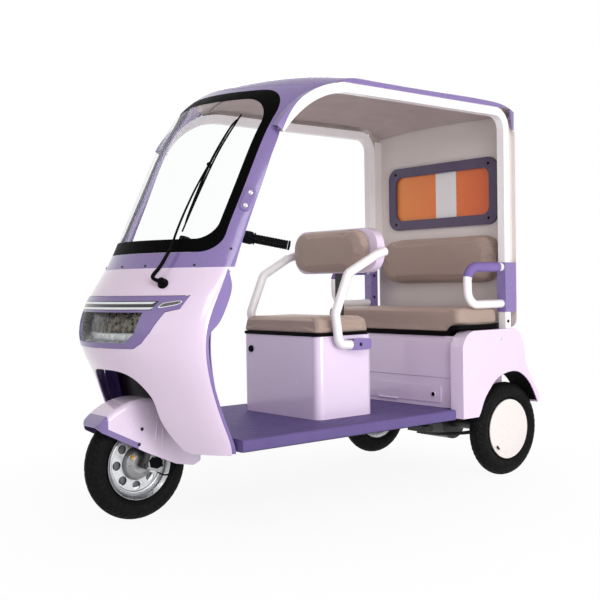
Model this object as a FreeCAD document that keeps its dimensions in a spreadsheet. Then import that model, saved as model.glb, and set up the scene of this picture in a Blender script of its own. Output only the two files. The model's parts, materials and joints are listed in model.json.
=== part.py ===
import FreeCAD, Part
import Sketcher
import math
import os
from functools import lru_cache

# Electric three-wheeled passenger tricycle with a roof, an open cab and a rear bench.
# Millimetres. X runs forward, Y to the left, Z up, and the ground is z = 0.
# The origin is on the ground, half way along the vehicle, on its centre line.

SIZES = [
    # Wheels
    ("front_axle_x", 819.0),
    ("wheelbase", 1640.0),
    ("tyre_radius", 207.5),
    ("tyre_section", 40.0),
    ("bead_radius", 132.0),
    ("rim_width", 62.0),
    ("rim_wall", 4.0),
    ("rim_disc", 5.0),
    ("rim_hole", 17.0),
    ("rim_hole_circle", 82.0),
    ("rim_hole_count", 8.0),
    ("hub_radius", 32.0),
    ("hub_width", 70.0),
    ("axle_radius", 8.0),
    ("axle_play", 0.4),
    ("cap_radius", 131.0),
    ("cap_height", 8.0),
    ("cap_wall", 3.0),
    ("rear_wheel_y", 415.0),
    # Steering
    ("rake_angle", 20.0),
    ("fork_offset", 35.0),
    ("fork_leg_y", 60.0),
    ("fork_leg_radius", 13.0),
    ("crown_low", 218.0),
    ("crown_high", 233.0),
    ("stem_radius", 15.0),
    ("stem_play", 0.4),
    ("head_low", 345.0),
    ("head_high", 560.0),
    ("head_wall", 6.0),
    ("bar_height", 905.0),
    ("bar_radius", 12.0),
    ("grip_radius", 17.0),
    ("grip_length", 120.0),
    ("bar_half", 215.0),
    # Front mudguard
    ("guard_radius", 248.0),
    ("guard_half_width", 76.4),
    ("guard_wall", 3.0),
    # Floor
    ("floor_low", 275.0),
    ("floor_high", 320.0),
    ("floor_half_width", 425.0),
    ("floor_wall", 4.0),
    ("floor_front", -187.0),
    ("floor_split", -775.0),
    ("floor_rear", -1313.6),
    ("floor_joint", 0.6),
    ("well_half_width", 262.0),
    # Front body skin
    ("skin_wall", 4.0),
    ("skin_bow", 1.3),
    ("skin_bow_low", 1.0),
    ("skin_half_width", 402.0),
    ("skin_corner", 60.0),
    ("shield_low", 262.0),
    ("band_low", 932.0),
    ("band_high", 988.0),
    ("arch_half_width", 192.0),
    ("arch_top", 566.0),
    ("panel_gap", 0.4),
    ("surround_wall", 9.0),
    # Mirror pads on the pillars
    ("boss_low_x", -245.0),
    ("boss_low_z", 1150.0),
    ("boss_high_x", -269.0),
    ("boss_high_z", 1197.0),
    ("boss_y", 384.0),
    ("boss_radius", 20.0),
    ("boss_deep", 8.0),
    ("boss_hole", 4.25),
    # Windscreen
    ("glass_half_width", 362.0),
    ("glass_top", 1608.0),
    ("glass_wall", 4.0),
    ("glass_corner", 60.0),
    ("glass_top_corner", 108.0),
    ("seal_width", 28.0),
    ("seal_top_width", 38.0),
    ("seal_low_width", 48.0),
    ("seal_wall", 3.0),
    # Roof and rails
    ("roof_top", 1703.0),
    ("roof_edge", 1656.0),
    ("roof_half_width", 452.0),
    ("roof_corner", 16.0),
    ("roof_rear", -1728.0),
    ("roof_wall", 4.0),
    ("roof_lip", 22.0),
    ("lining_wall", 5.0),
    ("rail_size", 38.0),
    ("rail_wall", 2.5),
    ("rail_y", 428.6),
    ("rail_high", 1636.0),
    ("rail_sweep", 406.0),
    ("rail_sweep_x", -720.0),
    ("rail_rear", -1665.0),
    ("rail_low", 656.3),
    ("rail_bend", 75.0),
    # Rear wall and window
    ("wall_x", -1722.0),
    ("wall_thickness", 5.0),
    ("wall_low", 657.0),
    ("wall_half_width", 446.0),
    ("window_half_width", 347.0),
    ("window_low", 1130.0),
    ("window_high", 1442.0),
    ("window_frame_width", 47.0),
    ("window_frame_depth", 14.0),
    ("window_corner", 58.0),
    ("window_inner_corner", 42.0),
    ("pane_thickness", 3.0),
    # Rear seat
    ("bench_front", -1338.0),
    ("bench_rear", -1716.0),
    ("bench_half_width", 397.6),
    ("bench_inner_half", 352.0),
    ("bench_top", 632.0),
    ("bench_wall", 4.0),
    ("bench_base", 18.0),
    ("bench_wing", 440.0),
    ("bench_wing_rise", 29.0),
    ("bench_wing_rear", -1610.0),
    ("bench_cushion_top", 745.0),
    ("bench_cushion_half", 398.0),
    ("bench_cushion_rear", -1668.0),
    ("hatch_half_width", 322.0),
    ("hatch_low", 340.0),
    ("hatch_high", 412.0),
    ("drawer_low", 450.0),
    ("drawer_high", 612.0),
    ("drawer_half_width", 388.0),
    ("hinge_radius", 4.0),
    ("hatch_wall", 4.0),
    ("lid_gap", 0.3),
    ("rest_low", 862.0),
    ("rest_high", 1082.0),
    ("rest_half_width", 362.0),
    ("rest_thickness", 72.0),
    ("rest_corner", 92.0),
    # Rear mudguards
    ("fender_outer", 468.0),
    ("fender_inner", 398.0),
    ("fender_front", -1314.0),
    ("fender_low", 284.0),
    ("fender_top", 656.0),
    ("fender_wall", 4.0),
    ("fender_flat_end", -1668.0),
    # Driver's seat
    ("box_front", -690.0),
    ("box_length", 306.0),
    ("box_half_width", 251.0),
    ("box_corner", 34.0),
    ("box_wall", 4.0),
    ("box_high", 655.0),
    ("seat_base", 12.0),
    ("seat_cushion", 58.0),
    ("driver_rest_low", 918.0),
    ("driver_rest_high", 1098.0),
    ("driver_rest_half", 230.0),
    ("driver_rest_front", -962.0),
    ("driver_rest_thick", 48.0),
    ("driver_rest_corner", 82.0),
    ("shell_thick", 42.0),
    ("shell_half", 272.0),
    ("arm_radius", 19.0),
    ("arm_y", 282.0),
    ("foot_length", 96.0),
    ("foot_height", 46.0),
    ("post_x", -1028.0),
    ("post_size", 34.0),
    # Grab handles
    ("grab_y", 428.0),
    ("grab_radius", 18.5),
    ("grab_bend", 62.0),
    ("grab_high", 930.0),
    ("grab_low", 767.0),
    ("grab_front", -1398.0),
    ("bracket_high", 950.0),
    ("bracket_low", 730.0),
    ("bracket_depth", 92.0),
    # Chassis
    ("beam_y", 215.0),
    ("beam_width", 40.0),
    ("beam_height", 40.0),
    ("beam_wall", 3.0),
    ("beam_front", -330.0),
    ("beam_rear", -1800.0),
    ("axle_tube", 25.0),
    ("motor_radius", 80.0),
    ("motor_length", 190.0),
    ("battery_length", 240.0),
    ("battery_width", 600.0),
    ("battery_height", 210.0),
    ("spring_front", 385.0),
    ("spring_rear", 160.0),
    ("spring_width", 50.0),
    ("spring_y", 275.0),
    ("spring_leaf", 7.0),
    ("spring_bow", 34.0),
]

# Side line of the nose: height above the ground and reach ahead of the front axle.
NOSE_LINE = [
    (200.0, -60.0), (270.0, -13.0), (400.0, 46.0), (520.0, 97.0), (600.0, 140.0), (650.0, 163.0), (700.0, 168.0),
    (790.0, 146.0), (860.0, 105.0), (930.0, 58.0), (1000.0, 17.0), (1200.0, -77.0), (1420.0, -187.0),
    (1500.0, -238.0), (1570.0, -300.0), (1630.0, -380.0), (1670.0, -480.0), (1692.0, -580.0), (1703.0, -720.0),
]

doc = FreeCAD.newDocument("Tricycle")
sheet = doc.addObject("Spreadsheet::Sheet", "Sizes")
for row, (alias, size) in enumerate(SIZES, start=1):
    sheet.set("A%d" % row, alias)
    sheet.set("B%d" % row, repr(size))
    sheet.setAlias("B%d" % row, alias)
doc.recompute()

nodes = []


def val(alias):
    """The number that the sheet holds under a name."""
    return float(sheet.get(alias))


def bind(text):
    """Turns the names of sizes in an expression into references to the sheet."""
    words = []
    for word in text.replace("(", " ( ").replace(")", " ) ").split():
        words.append("Sizes." + word if word in ALIASES else word)
    return " ".join(words)


ALIASES = {alias for alias, size in SIZES}
FX = val("front_axle_x")
RX = FX - val("wheelbase")


def keep(item, label):
    """Gives an object its label and lists it as a finished piece."""
    item.Label = label
    nodes.append(item)
    return item


def put(item, x="0", y="0", z="0"):
    """Binds the place of an object."""
    for key, text in (("x", x), ("y", y), ("z", z)):
        item.setExpression(".Placement.Base." + key, bind(text))


def block(name, x, y, z, length, width, height):
    item = doc.addObject("Part::Box", name)
    item.setExpression("Length", bind(length))
    item.setExpression("Width", bind(width))
    item.setExpression("Height", bind(height))
    put(item, x, y, z)
    return item


def rod(name, x, y, z, radius, length, turn=None):
    """A cylinder from a point, along Z or, turned, along X or Y."""
    item = doc.addObject("Part::Cylinder", name)
    item.setExpression("Radius", bind(radius))
    item.setExpression("Height", bind(length))
    if turn == "x":
        item.Placement.Rotation = FreeCAD.Rotation(FreeCAD.Vector(0, 1, 0), 90)
    if turn == "y":
        item.Placement.Rotation = FreeCAD.Rotation(FreeCAD.Vector(1, 0, 0), -90)
    put(item, x, y, z)
    return item


def join(name, parts):
    item = doc.addObject("Part::MultiFuse", name)
    item.Shapes = parts
    item.Refine = True
    return item


def cut(name, base, tool):
    item = doc.addObject("Part::Cut", name)
    item.Base = base
    item.Tool = tool
    return item


def feature(label, shape):
    """A finished piece whose form is worked out here."""
    item = doc.addObject("Part::Feature", label)
    item.Shape = shape.Solids[0] if len(shape.Solids) == 1 else shape
    return keep(item, label)


def vec(x, y, z):
    return FreeCAD.Vector(x, y, z)


def prism(points, direction):
    """A straight-sided solid on a flat outline."""
    wire = Part.makePolygon(points + [points[0]])
    return Part.Face(wire).extrude(direction)


def curve(points):
    line = Part.BSplineCurve()
    line.interpolate(points)
    return line.toShape()


def tube_path(points, bend):
    """Straight runs joined by tangent arcs of one radius."""
    edges = []
    start = points[0]
    for before, corner, after in zip(points, points[1:], points[2:]):
        one = (before - corner).normalize()
        two = (after - corner).normalize()
        turn = math.pi - one.getAngle(two)
        step = bend * math.tan(turn / 2)
        first = corner + one * step
        last = corner + two * step
        middle_way = (one + two).normalize()
        centre = corner + middle_way * (bend / math.cos(turn / 2))
        middle = centre - middle_way * bend
        edges.append(Part.LineSegment(start, first).toShape())
        edges.append(Part.Arc(first, middle, last).toShape())
        start = last
    edges.append(Part.LineSegment(start, points[-1]).toShape())
    return Part.Wire(edges)


def tube(points, bend, radius, wall=0.0):
    """A round tube, or a solid bar where no wall is given."""
    path = tube_path([vec(*point) for point in points], bend)
    start = path.Edges[0]
    ring = Part.Wire(Part.makeCircle(radius, start.valueAt(start.FirstParameter),
                                     start.tangentAt(start.FirstParameter)))
    solid = Part.Wire(path).makePipeShell([ring], True, True)
    if wall:
        bore = Part.Wire(Part.makeCircle(radius - wall, start.valueAt(start.FirstParameter),
                                         start.tangentAt(start.FirstParameter)))
        solid = solid.cut(Part.Wire(path).makePipeShell([bore], True, True))
    return solid


def mirrored(shape):
    return shape.mirror(vec(0, 0, 0), vec(0, 1, 0))


def rounded_block(x0, x1, y0, y1, z0, z1, radius, direction):
    """A block whose edges along one direction are rounded."""
    solid = Part.makeBox(x1 - x0, y1 - y0, z1 - z0, vec(x0, y0, z0))
    edges = []
    for edge in solid.Edges:
        along = edge.tangentAt(edge.FirstParameter)
        if abs(along.dot(direction)) > 0.99:
            edges.append(edge)
    return solid.makeFillet(radius, edges)


# Front skin


def nose_x(height):
    """Reach of the nose at a height, by straight steps along its side line's curve."""
    line = Part.BSplineCurve()
    line.interpolate([vec(reach, 0, level) for level, reach in NOSE_LINE])
    flat = Part.Line(vec(0, 0, height), vec(1, 0, height))
    points = line.intersect(flat)
    return FX + points[0].X


def smooth(share):
    """An eased step from 0 to 1."""
    share = min(max(share, 0.0), 1.0)
    return share * share * (3 - 2 * share)


def skin_half(height):
    """Half width of the skin: it spreads towards the roof."""
    narrow = val("skin_half_width")
    return narrow + (val("roof_half_width") - narrow) * smooth((height - 1230.0) / 370.0)


def skin_bow(height):
    """How fast the skin falls back from its centre line: less round the wheel opening."""
    low = val("skin_bow_low")
    return (low + (val("skin_bow") - low) * smooth((height - 520.0) / 120.0)) / 1000.0


def skin_section(height, offset):
    """Plan line of the skin at one height, moved inward by an offset, closed behind."""
    bow = skin_bow(height)
    half = skin_half(height)
    centre = nose_x(height)
    corner = val("skin_corner")
    edge = half
    for step in range(8):
        edge = half - corner * (1 - math.sin(math.atan(2 * bow * edge)))
    start = math.atan(2 * bow * edge)
    middle_x = centre - bow * edge * edge - corner * math.cos(start)
    middle_y = edge - corner * math.sin(start)
    side = []
    for turn in (0.0, 0.5, 1.0):
        angle = start + (math.pi / 2 - start) * turn
        side.append((middle_x + (corner - offset) * math.cos(angle), middle_y + (corner - offset) * math.sin(angle)))
    face = []
    for part in (-0.75, -0.5, -0.25, 0.0, 0.25, 0.5, 0.75):
        y = edge * part
        slope = 2 * bow * y
        size = math.sqrt(1 + slope * slope)
        face.append((centre - bow * y * y - offset / size, y - offset * slope / size))
    line = [(x, -y) for x, y in reversed(side)] + face + side
    points = [vec(x, y, height) for x, y in line]
    back = FX - 700.0
    first = points[0]
    last = points[-1]
    sides = Part.makePolygon([last, vec(back, last.y, height), vec(back, first.y, height), first])
    return Part.Wire([curve(points)] + sides.Edges)


SKIN_LEVELS = [240.0, 350.0, 470.0, 580.0, 670.0, 760.0, 860.0, 990.0, 1200.0, 1400.0, 1520.0, 1630.0]
skins = {}
layers = {}


def skin_solid(offset):
    if offset not in skins:
        wires = [skin_section(level, offset) for level in SKIN_LEVELS]
        skins[offset] = Part.makeLoft(wires, True, False)
    return skins[offset]


def side_region(points):
    """Everything ahead of a side line, as a solid right across the vehicle."""
    line = curve([vec(FX + x, -600, z) for x, z in points])
    low = vec(FX + points[0][0], -600, points[0][1])
    high = vec(FX + points[-1][0], -600, points[-1][1])
    ahead = FX + 400.0
    frame = Part.makePolygon([high, vec(ahead, -600, high.z), vec(ahead, -600, low.z), low])
    return Part.Face(Part.Wire([line] + frame.Edges)).extrude(vec(0, 1200, 0))


def front_profile(points):
    """A front view outline pushed right through the nose."""
    return prism([vec(FX - 690, y, z) for y, z in points], vec(1090, 0, 0))


def arch_tool(grow):
    """The wheel opening in the nose, seen from the front."""
    half = val("arch_half_width") + grow
    top = val("arch_top") + grow
    foot = 62.0
    right = [(half + foot, 200.0), (half + foot, 262.0), (half + 33, 275.0), (half + 11, 336.0),
             (half, 400.0), (half - 2, 466.0), (half - 20, 503.0), (half - 53, 541.0)]
    left = [(-y, z) for y, z in reversed(right)]
    line = curve([vec(FX - 250, y, z) for y, z in right[2:]] +
                 [vec(FX - 250, 0.45 * half, top - 4), vec(FX - 250, 0, top), vec(FX - 250, -0.45 * half, top - 4)] +
                 [vec(FX - 250, y, z) for y, z in left[:-2]])
    low = Part.makePolygon([vec(FX - 250, y, z) for y, z in left[-3:]] +
                           [vec(FX - 250, y, z) for y, z in right[:3]])
    return Part.Face(Part.Wire([line] + low.Edges)).extrude(vec(650, 0, 0))


def front_shell_layer(outer, inner):
    """The layer between two depths of the skin."""
    if (outer, inner) not in layers:
        layers[(outer, inner)] = skin_solid(outer).cut(skin_solid(inner))
    return layers[(outer, inner)]


REAR_LINE = [(-170.0, 240.0), (-167.0, 268.0), (-130.0, 366.0), (-92.0, 465.0), (-64.0, 565.0), (-53.0, 655.0),
             (-56.0, 702.0), (-78.0, 773.0), (-130.0, 879.0), (-158.0, 940.0)]


def front_shield():
    region = side_region(REAR_LINE)
    wall = val("skin_wall")
    layer = front_shell_layer(0.0, wall).common(region)
    low = val("shield_low")
    high = val("band_low")
    slab = Part.makeBox(1400, 1200, high - low, vec(FX - 900, -600, low))
    shell = layer.common(slab).cut(arch_tool(0.0))
    return shell.cut(lamp_tool(1.0))


LAMP_LINE = [(344.0, 834.0), (331.0, 789.0), (290.0, 778.0), (254.0, 707.0), (226.0, 670.0), (194.0, 650.0)]


def lamp_tool(grow):
    """Front view outline of the lamp cluster, grown by a clearance."""
    right = [(y + grow, z + (grow if z > 800 else -grow)) for y, z in LAMP_LINE]
    left = [(-y, z) for y, z in reversed(right)]
    return front_profile(right + left)


def headlamp_bezel():
    """Surround of the lamps, a little proud of the nose, open where the lens and strips sit."""
    layer = front_shell_layer(-3.0, 7.0).common(lamp_tool(-0.2))
    return layer.cut(lens_tool(0.0)).cut(strip_tool(0.0, 806.0, 814.0)).cut(strip_tool(0.0, 787.0, 795.0))


def lens_tool(grow):
    right = [(222.0 + grow, 777.0 + grow), (206.0 + grow, 704.0), (167.0 + grow, 669.0 - grow)]
    left = [(-y, z) for y, z in reversed(right)]
    return front_profile(right + left)


def strip_tool(grow, low, high):
    right = [(256.0 + grow, high + grow), (246.0 + grow, low - grow)]
    left = [(-y, z) for y, z in reversed(right)]
    return front_profile(right + left)


def headlamp_lens():
    return front_shell_layer(-1.0, 3.0).common(lens_tool(-0.3))


def headlamp_housing():
    """Bowl behind the headlamp lens."""
    bowl = front_shell_layer(7.5, 44.0).common(lens_tool(9.0))
    return bowl.cut(front_shell_layer(3.0, 40.0).common(lens_tool(6.0)))


def lamp_strips():
    layer = front_shell_layer(-5.0, 4.0)
    upper = layer.common(strip_tool(-0.3, 806.0, 814.0))
    lower = layer.common(strip_tool(-0.3, 787.0, 795.0))
    return Part.makeCompound(upper.Solids + lower.Solids)


# Round ear of the inner panel that shows behind the shield's upper rear edge.
EAR_LINE = [(-76.0, 702.0), (-104.0, 728.0), (-134.0, 770.0), (-158.0, 820.0), (-170.0, 868.0), (-164.0, 900.0),
            (-158.0, 928.0)]


def inner_shield():
    """Inner panel behind the nose: lining of the legs' space with the dash on top."""
    wall = val("skin_wall")
    gap = 0.4
    region = side_region([(x - 14.0, z) for x, z in REAR_LINE[:6]] + EAR_LINE)
    layer = front_shell_layer(wall + gap, wall + gap + 3.0).common(region)
    low = val("shield_low") + 6.0
    slab = Part.makeBox(1400, 1200, 924.0 - low, vec(FX - 900, -600, low))
    return layer.common(slab).cut(arch_tool(6.0)).cut(lamp_tool(12.0))


LEG_LINE = [(321.0, -305.0, -150.0), (450.0, -300.0, -105.0), (600.0, -288.0, -78.0), (750.0, -272.0, -86.0),
            (860.0, -250.0, -128.0), (918.0, -225.0, -165.0)]


def leg_section(level, centre, edge, back):
    """Plan band of the leg shield at one height."""
    half = 392.0
    front_line = []
    for part in (-1.0, -0.8, -0.65, -0.5, -0.35, -0.2, 0.0, 0.2, 0.35, 0.5, 0.65, 0.8, 1.0):
        x = centre + (edge - centre) * smooth((abs(part) - 0.15) / 0.5)
        front_line.append(vec(FX + x - back, half * part, level))
    return front_line


def leg_shield():
    """Bowed inner panel in front of the driver's legs, with a hole for the steering column."""
    wires = []
    for level, centre, edge in LEG_LINE:
        ahead = leg_section(level, centre, edge, 0.0)
        behind = leg_section(level, centre, edge, 4.0)
        ends = [Part.makeLine(ahead[-1], behind[-1]), Part.makeLine(behind[0], ahead[0])]
        wires.append(Part.Wire([curve(ahead), ends[0], curve(behind), ends[1]]))
    panel = Part.makeLoft(wires, True, False)
    hole = steer_place(Part.makeCylinder(40.0, 900, vec(0, 0, 0)))
    column = Part.makeBox(120, 60, 250, vec(FX - 400, -30, 300))
    return panel.common(skin_solid(val("skin_wall") + 4.4)).cut(hole).cut(column)


def well_tool():
    """Space ahead of the leg shield that the floor leaves open for the front wheel."""
    level, centre, edge = LEG_LINE[0]
    line = leg_section(200.0, centre, edge, 0.0)
    half = val("well_half_width")
    wire = Part.Wire([curve(line)] + Part.makePolygon([line[-1], vec(FX + 100, line[-1].y, 200),
                                                       vec(FX + 100, line[0].y, 200), line[0]]).Edges)
    solid = Part.Face(wire).extrude(vec(0, 0, 300))
    return solid.common(Part.makeBox(900, 2 * half, 400, vec(FX - 600, -half, 150)))


# Rear edge of the pillars: up the pillar, then along the rail to the roof.
PILLAR_LINE = [(-176.0, 920.0), (-206.0, 1000.0), (-281.0, 1171.0), (-322.0, 1263.0), (-360.0, 1352.0),
               (-396.0, 1430.0), (-414.0, 1477.0), (-448.0, 1525.0), (-505.0, 1572.0), (-580.0, 1611.0),
               (-650.0, 1640.0)]


def cab_surround():
    """Pillars, header and cowl band round the windscreen, in one moulding."""
    half = val("glass_half_width") + val("panel_gap")
    band = val("band_high") - val("panel_gap")
    top = val("glass_top") + val("panel_gap")
    layer = front_shell_layer(0.0, val("surround_wall"))
    low = val("band_low") + val("panel_gap")
    slab = Part.makeBox(1400, 1200, 1626.0 - low, vec(FX - 900, -600, low))
    hole = glass_outline(half, band, top)
    body = layer.common(slab).cut(hole)
    tail = Part.makeBox(400, 1200, 1500, vec(FX - 1000, -600, 200))
    keep_box = side_region(PILLAR_LINE)
    rail = rail_bar(val("rail_size") + 0.8)
    return body.common(keep_box).cut(tail).cut(rail).cut(mirrored(rail))


def mirror_boss(side):
    """Raised pad on a pillar with two bolt holes for a mirror."""
    low = vec(FX + val("boss_low_x"), val("boss_y"), val("boss_low_z"))
    high = vec(FX + val("boss_high_x"), val("boss_y"), val("boss_high_z"))
    along = (high - low).normalize()
    out = vec(0.64, 0.71, 0.30)
    out = (out - along * out.dot(along)).normalize()
    across = out.cross(along)
    radius = val("boss_radius")
    inside = 16.0
    deep = inside + val("boss_deep")
    feet = [point - out * inside for point in (low, high)]
    corners = [feet[0] + across * radius, feet[1] + across * radius, feet[1] - across * radius, feet[0] - across * radius]
    web = prism(corners, out * deep)
    pad = web.fuse([Part.makeCylinder(radius, deep, foot, out) for foot in feet]).removeSplitter()
    top = low + out * val("boss_deep")
    rim = [edge for edge in pad.Edges if abs((edge.valueAt(edge.FirstParameter) - top).dot(out)) < 0.1]
    pad = pad.makeFillet(3.0, rim).cut(skin_solid(-0.3))
    for point in (low, high):
        pad = pad.cut(Part.makeCylinder(val("boss_hole"), 60.0, point - out * 30.0, out))
    return pad if side > 0 else mirrored(pad)


def glass_outline(half, low, high):
    """Front view outline of the windscreen, with larger corners at its top."""
    base = FX - 690
    reach = base + 1090
    lower = rounded_block(base, reach, -half, half, low, high + 200.0, val("glass_corner"), vec(1, 0, 0))
    upper = rounded_block(base, reach, -half, half, low - 200.0, high, val("glass_top_corner"), vec(1, 0, 0))
    return lower.common(upper)


def windscreen():
    half = val("glass_half_width")
    glass = front_shell_layer(3.0, 3.0 + val("glass_wall"))
    return glass.common(glass_outline(half, val("band_high"), val("glass_top")))


def windscreen_seal():
    """Black border on the glass."""
    half = val("glass_half_width")
    layer = front_shell_layer(3.0 - val("seal_wall"), 3.0)
    outer = glass_outline(half, val("band_high"), val("glass_top"))
    inner = glass_outline(half - val("seal_width"), val("band_high") + val("seal_low_width"),
                          val("glass_top") - val("seal_top_width"))
    return layer.common(outer).cut(inner)


# Roof

roofs = {}


def nose_height(reach):
    """Height of the nose line at a reach, on its upper part."""
    line = Part.BSplineCurve()
    line.interpolate([vec(back, 0, level) for level, back in NOSE_LINE])
    points = line.intersect(Part.Line(vec(reach, 0, 0), vec(reach, 0, 1)))
    return max(point.Z for point in points)


def roof_height(x, y, drop, inset):
    """Height of the roof at a place, where its crown and the nose's curve meet smoothly."""
    half = val("roof_half_width") - inset
    top = val("roof_top") - inset - drop
    edge = val("roof_edge") - inset - 0.62 * drop
    blend = 26.0
    crown = edge + (top - edge) * (1 - (abs(y) / half) ** 2.6)
    reach = x + inset + val("skin_bow") / 1000.0 * y * y
    nose = nose_height(reach) - 0.6 * inset if reach > -700.0 else val("roof_top") + 50.0
    share = max(blend - abs(crown - nose), 0.0) / blend
    return min(crown, nose) - share * share * blend / 4


def roof_section(x, drop, inset):
    """One cross line of the roof with round shoulders, closed below."""
    half = val("roof_half_width") - inset
    corner = val("roof_corner") - inset
    slope = math.atan(2.6 * (val("roof_top") - val("roof_edge")) / half)
    y = half - corner * (1 - math.sin(slope))
    z = roof_height(x, y, drop, inset)
    middle_y = half - corner
    middle_z = z - corner * math.cos(slope)
    half_turn = (slope + math.pi / 2) / 2
    shoulder = vec(FX + x, middle_y + corner * math.sin(half_turn), middle_z + corner * math.cos(half_turn))
    first = vec(FX + x, y, z)
    last = vec(FX + x, half, middle_z)
    points = [vec(FX + x, y * part, roof_height(x, y * part, drop, inset))
              for part in (-1.0, -0.9, -0.75, -0.55, -0.35, -0.15, 0.0, 0.15, 0.35, 0.55, 0.75, 0.9, 1.0)]
    right = Part.Arc(first, shoulder, last).toShape()
    left = Part.Arc(vec(last.x, -last.y, last.z), vec(last.x, -shoulder.y, shoulder.z), points[0]).toShape()
    frame = Part.makePolygon([last, vec(FX + x, half, 1180), vec(FX + x, -half, 1180), vec(last.x, -last.y, last.z)])
    return Part.Wire([curve(points), right] + frame.Edges + [left])


def roof_shape(inset):
    """Closed roof form from its front edge to its tail."""
    if inset in roofs:
        return roofs[inset]
    rear = val("roof_rear") + inset
    stations = [(-330.0 - inset, 0.0), (-380.0, 0.0), (-430.0, 0.0), (-480.0, 0.0), (-540.0, 0.0), (-600.0, 0.0),
                (-680.0, 0.0), (-800.0, 0.0), (-1200.0, 0.0), (rear + 200.0, 0.0), (rear + 70.0, 22.0),
                (rear + 18.0, 58.0), (rear, 92.0)]
    wires = [roof_section(x, drop, inset) for x, drop in stations]
    roofs[inset] = Part.makeLoft(wires, True, False)
    return roofs[inset]


def roof_plan(inset):
    """Plan outline of the roof's rear corners."""
    half = val("roof_half_width") - inset + 1.0
    rear = FX + val("roof_rear") + inset
    return rounded_block(rear, FX, -half, half, 1100, 1800, 50.0 - inset, vec(0, 0, 1))


def roof_underside():
    """Everything above the lower edge of the roof: lower at its tail and at the front header."""
    level = val("roof_edge") - val("roof_lip")
    header = val("glass_top") + 18.0 + val("panel_gap")
    rear = FX + val("roof_rear")
    outline = [vec(rear - 50, -600, level - 90.0), vec(rear + 46.0, -600, level - 90.0),
               vec(rear + 62.0, -600, level), vec(FX - 648.0, -600, level),
               vec(FX - 640.0, -600, header), vec(FX - 100.0, -600, header),
               vec(FX - 100.0, -600, 2000), vec(rear - 50, -600, 2000)]
    return prism(outline, vec(0, 1200, 0))


@lru_cache(maxsize=None)
def roof_shell():
    wall = val("roof_wall")
    if "shell" not in roofs:
        outer = roof_shape(0.0).common(roof_plan(0.0))
        inner = roof_shape(wall).common(roof_plan(wall))
        roofs["shell"] = outer.cut(inner).common(roof_underside())
    return roofs["shell"]


def roof_lining():
    """Grey ceiling panel, set up inside the roof skin between the rails."""
    gap = val("roof_wall") + 0.5
    outer = roof_shape(gap)
    inner = roof_shape(gap + val("lining_wall"))
    half = val("rail_y") - val("rail_size") / 2 - 1.0
    start = FX + val("wall_x") + 12.0
    box = Part.makeBox(FX - 640.0 - start, 2 * half, 600, vec(start, -half, 1560))
    return outer.cut(inner).common(box)


def below_roof(gap):
    """Space under the roof skin, with everything lower down."""
    inset = val("roof_wall") + gap
    inner = roof_shape(inset).common(roof_plan(inset))
    rest = Part.makeBox(2000, 1200, 1540.0 - 200.0, vec(FX - 1900, -600, 200))
    return inner.fuse(rest)


def rail_front():
    """Centre points of a rail's long front sweep, which leans in to pass inside the pillar."""
    sweep = val("rail_sweep")
    high = val("rail_high") - val("rail_size") / 2
    points = []
    for angle in (56, 48, 40, 32, 24, 16, 8, 0):
        turn = math.radians(angle)
        x = FX + val("rail_sweep_x") + sweep * math.sin(turn)
        z = high - sweep * (1 - math.cos(turn))
        outside = val("rail_y") + val("rail_size") / 2 - (skin_half(z) - val("surround_wall") - 2 * val("panel_gap"))
        points.append(vec(x, val("rail_y") - outside * smooth((angle - 8.0) / 14.0), z))
    return points


def rail_path():
    """Centre line of a side rail: the front sweep, along the roof, down to the rear."""
    size = val("rail_size")
    high = val("rail_high") - size / 2
    rear = FX + val("rail_rear") + size / 2
    y = val("rail_y")
    start_x = FX + val("rail_sweep_x")
    line = Part.BSplineCurve()
    line.interpolate(Points=rail_front(), InitialTangent=vec(-0.56, 0.22, 0.83), FinalTangent=vec(-1, 0, 0))
    rest = tube_path([vec(start_x, y, high), vec(rear, y, high), vec(rear, y, val("rail_low") - size / 4)], val("rail_bend"))
    return Part.Wire([line.toShape()] + rest.Edges)


def rail_bar(width):
    """Square bar along the rail's line, with its sides kept upright."""
    path = rail_path()
    start = path.Edges[0]
    along = start.tangentAt(start.FirstParameter)
    up = along.cross(vec(0, 1, 0)).normalize()
    across = up.cross(along)
    base = start.valueAt(start.FirstParameter)
    corners = [base + across * (width / 2 * a) + up * (width / 2 * b)
               for a, b in ((-1, -1), (1, -1), (1, 1), (-1, 1))]
    sweep = Part.BRepOffsetAPI.MakePipeShell(path)
    sweep.setBiNormalMode(vec(0, 1, 0))
    sweep.setTransitionMode(1)
    sweep.add(Part.makePolygon(corners + [corners[0]]))
    sweep.build()
    sweep.makeSolid()
    return sweep.shape()


def side_rail():
    """Square tube rail with bent corners, cut level at its foot."""
    size = val("rail_size")
    below = Part.makeBox(3 * size, 3 * size, size,
                         vec(FX + val("rail_rear") - size, val("rail_y") - 1.5 * size, val("rail_low") - size))
    return rail_bar(size).cut(rail_bar(size - 2 * val("rail_wall"))).cut(below).cut(roof_shell())


# Rear wall


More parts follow.
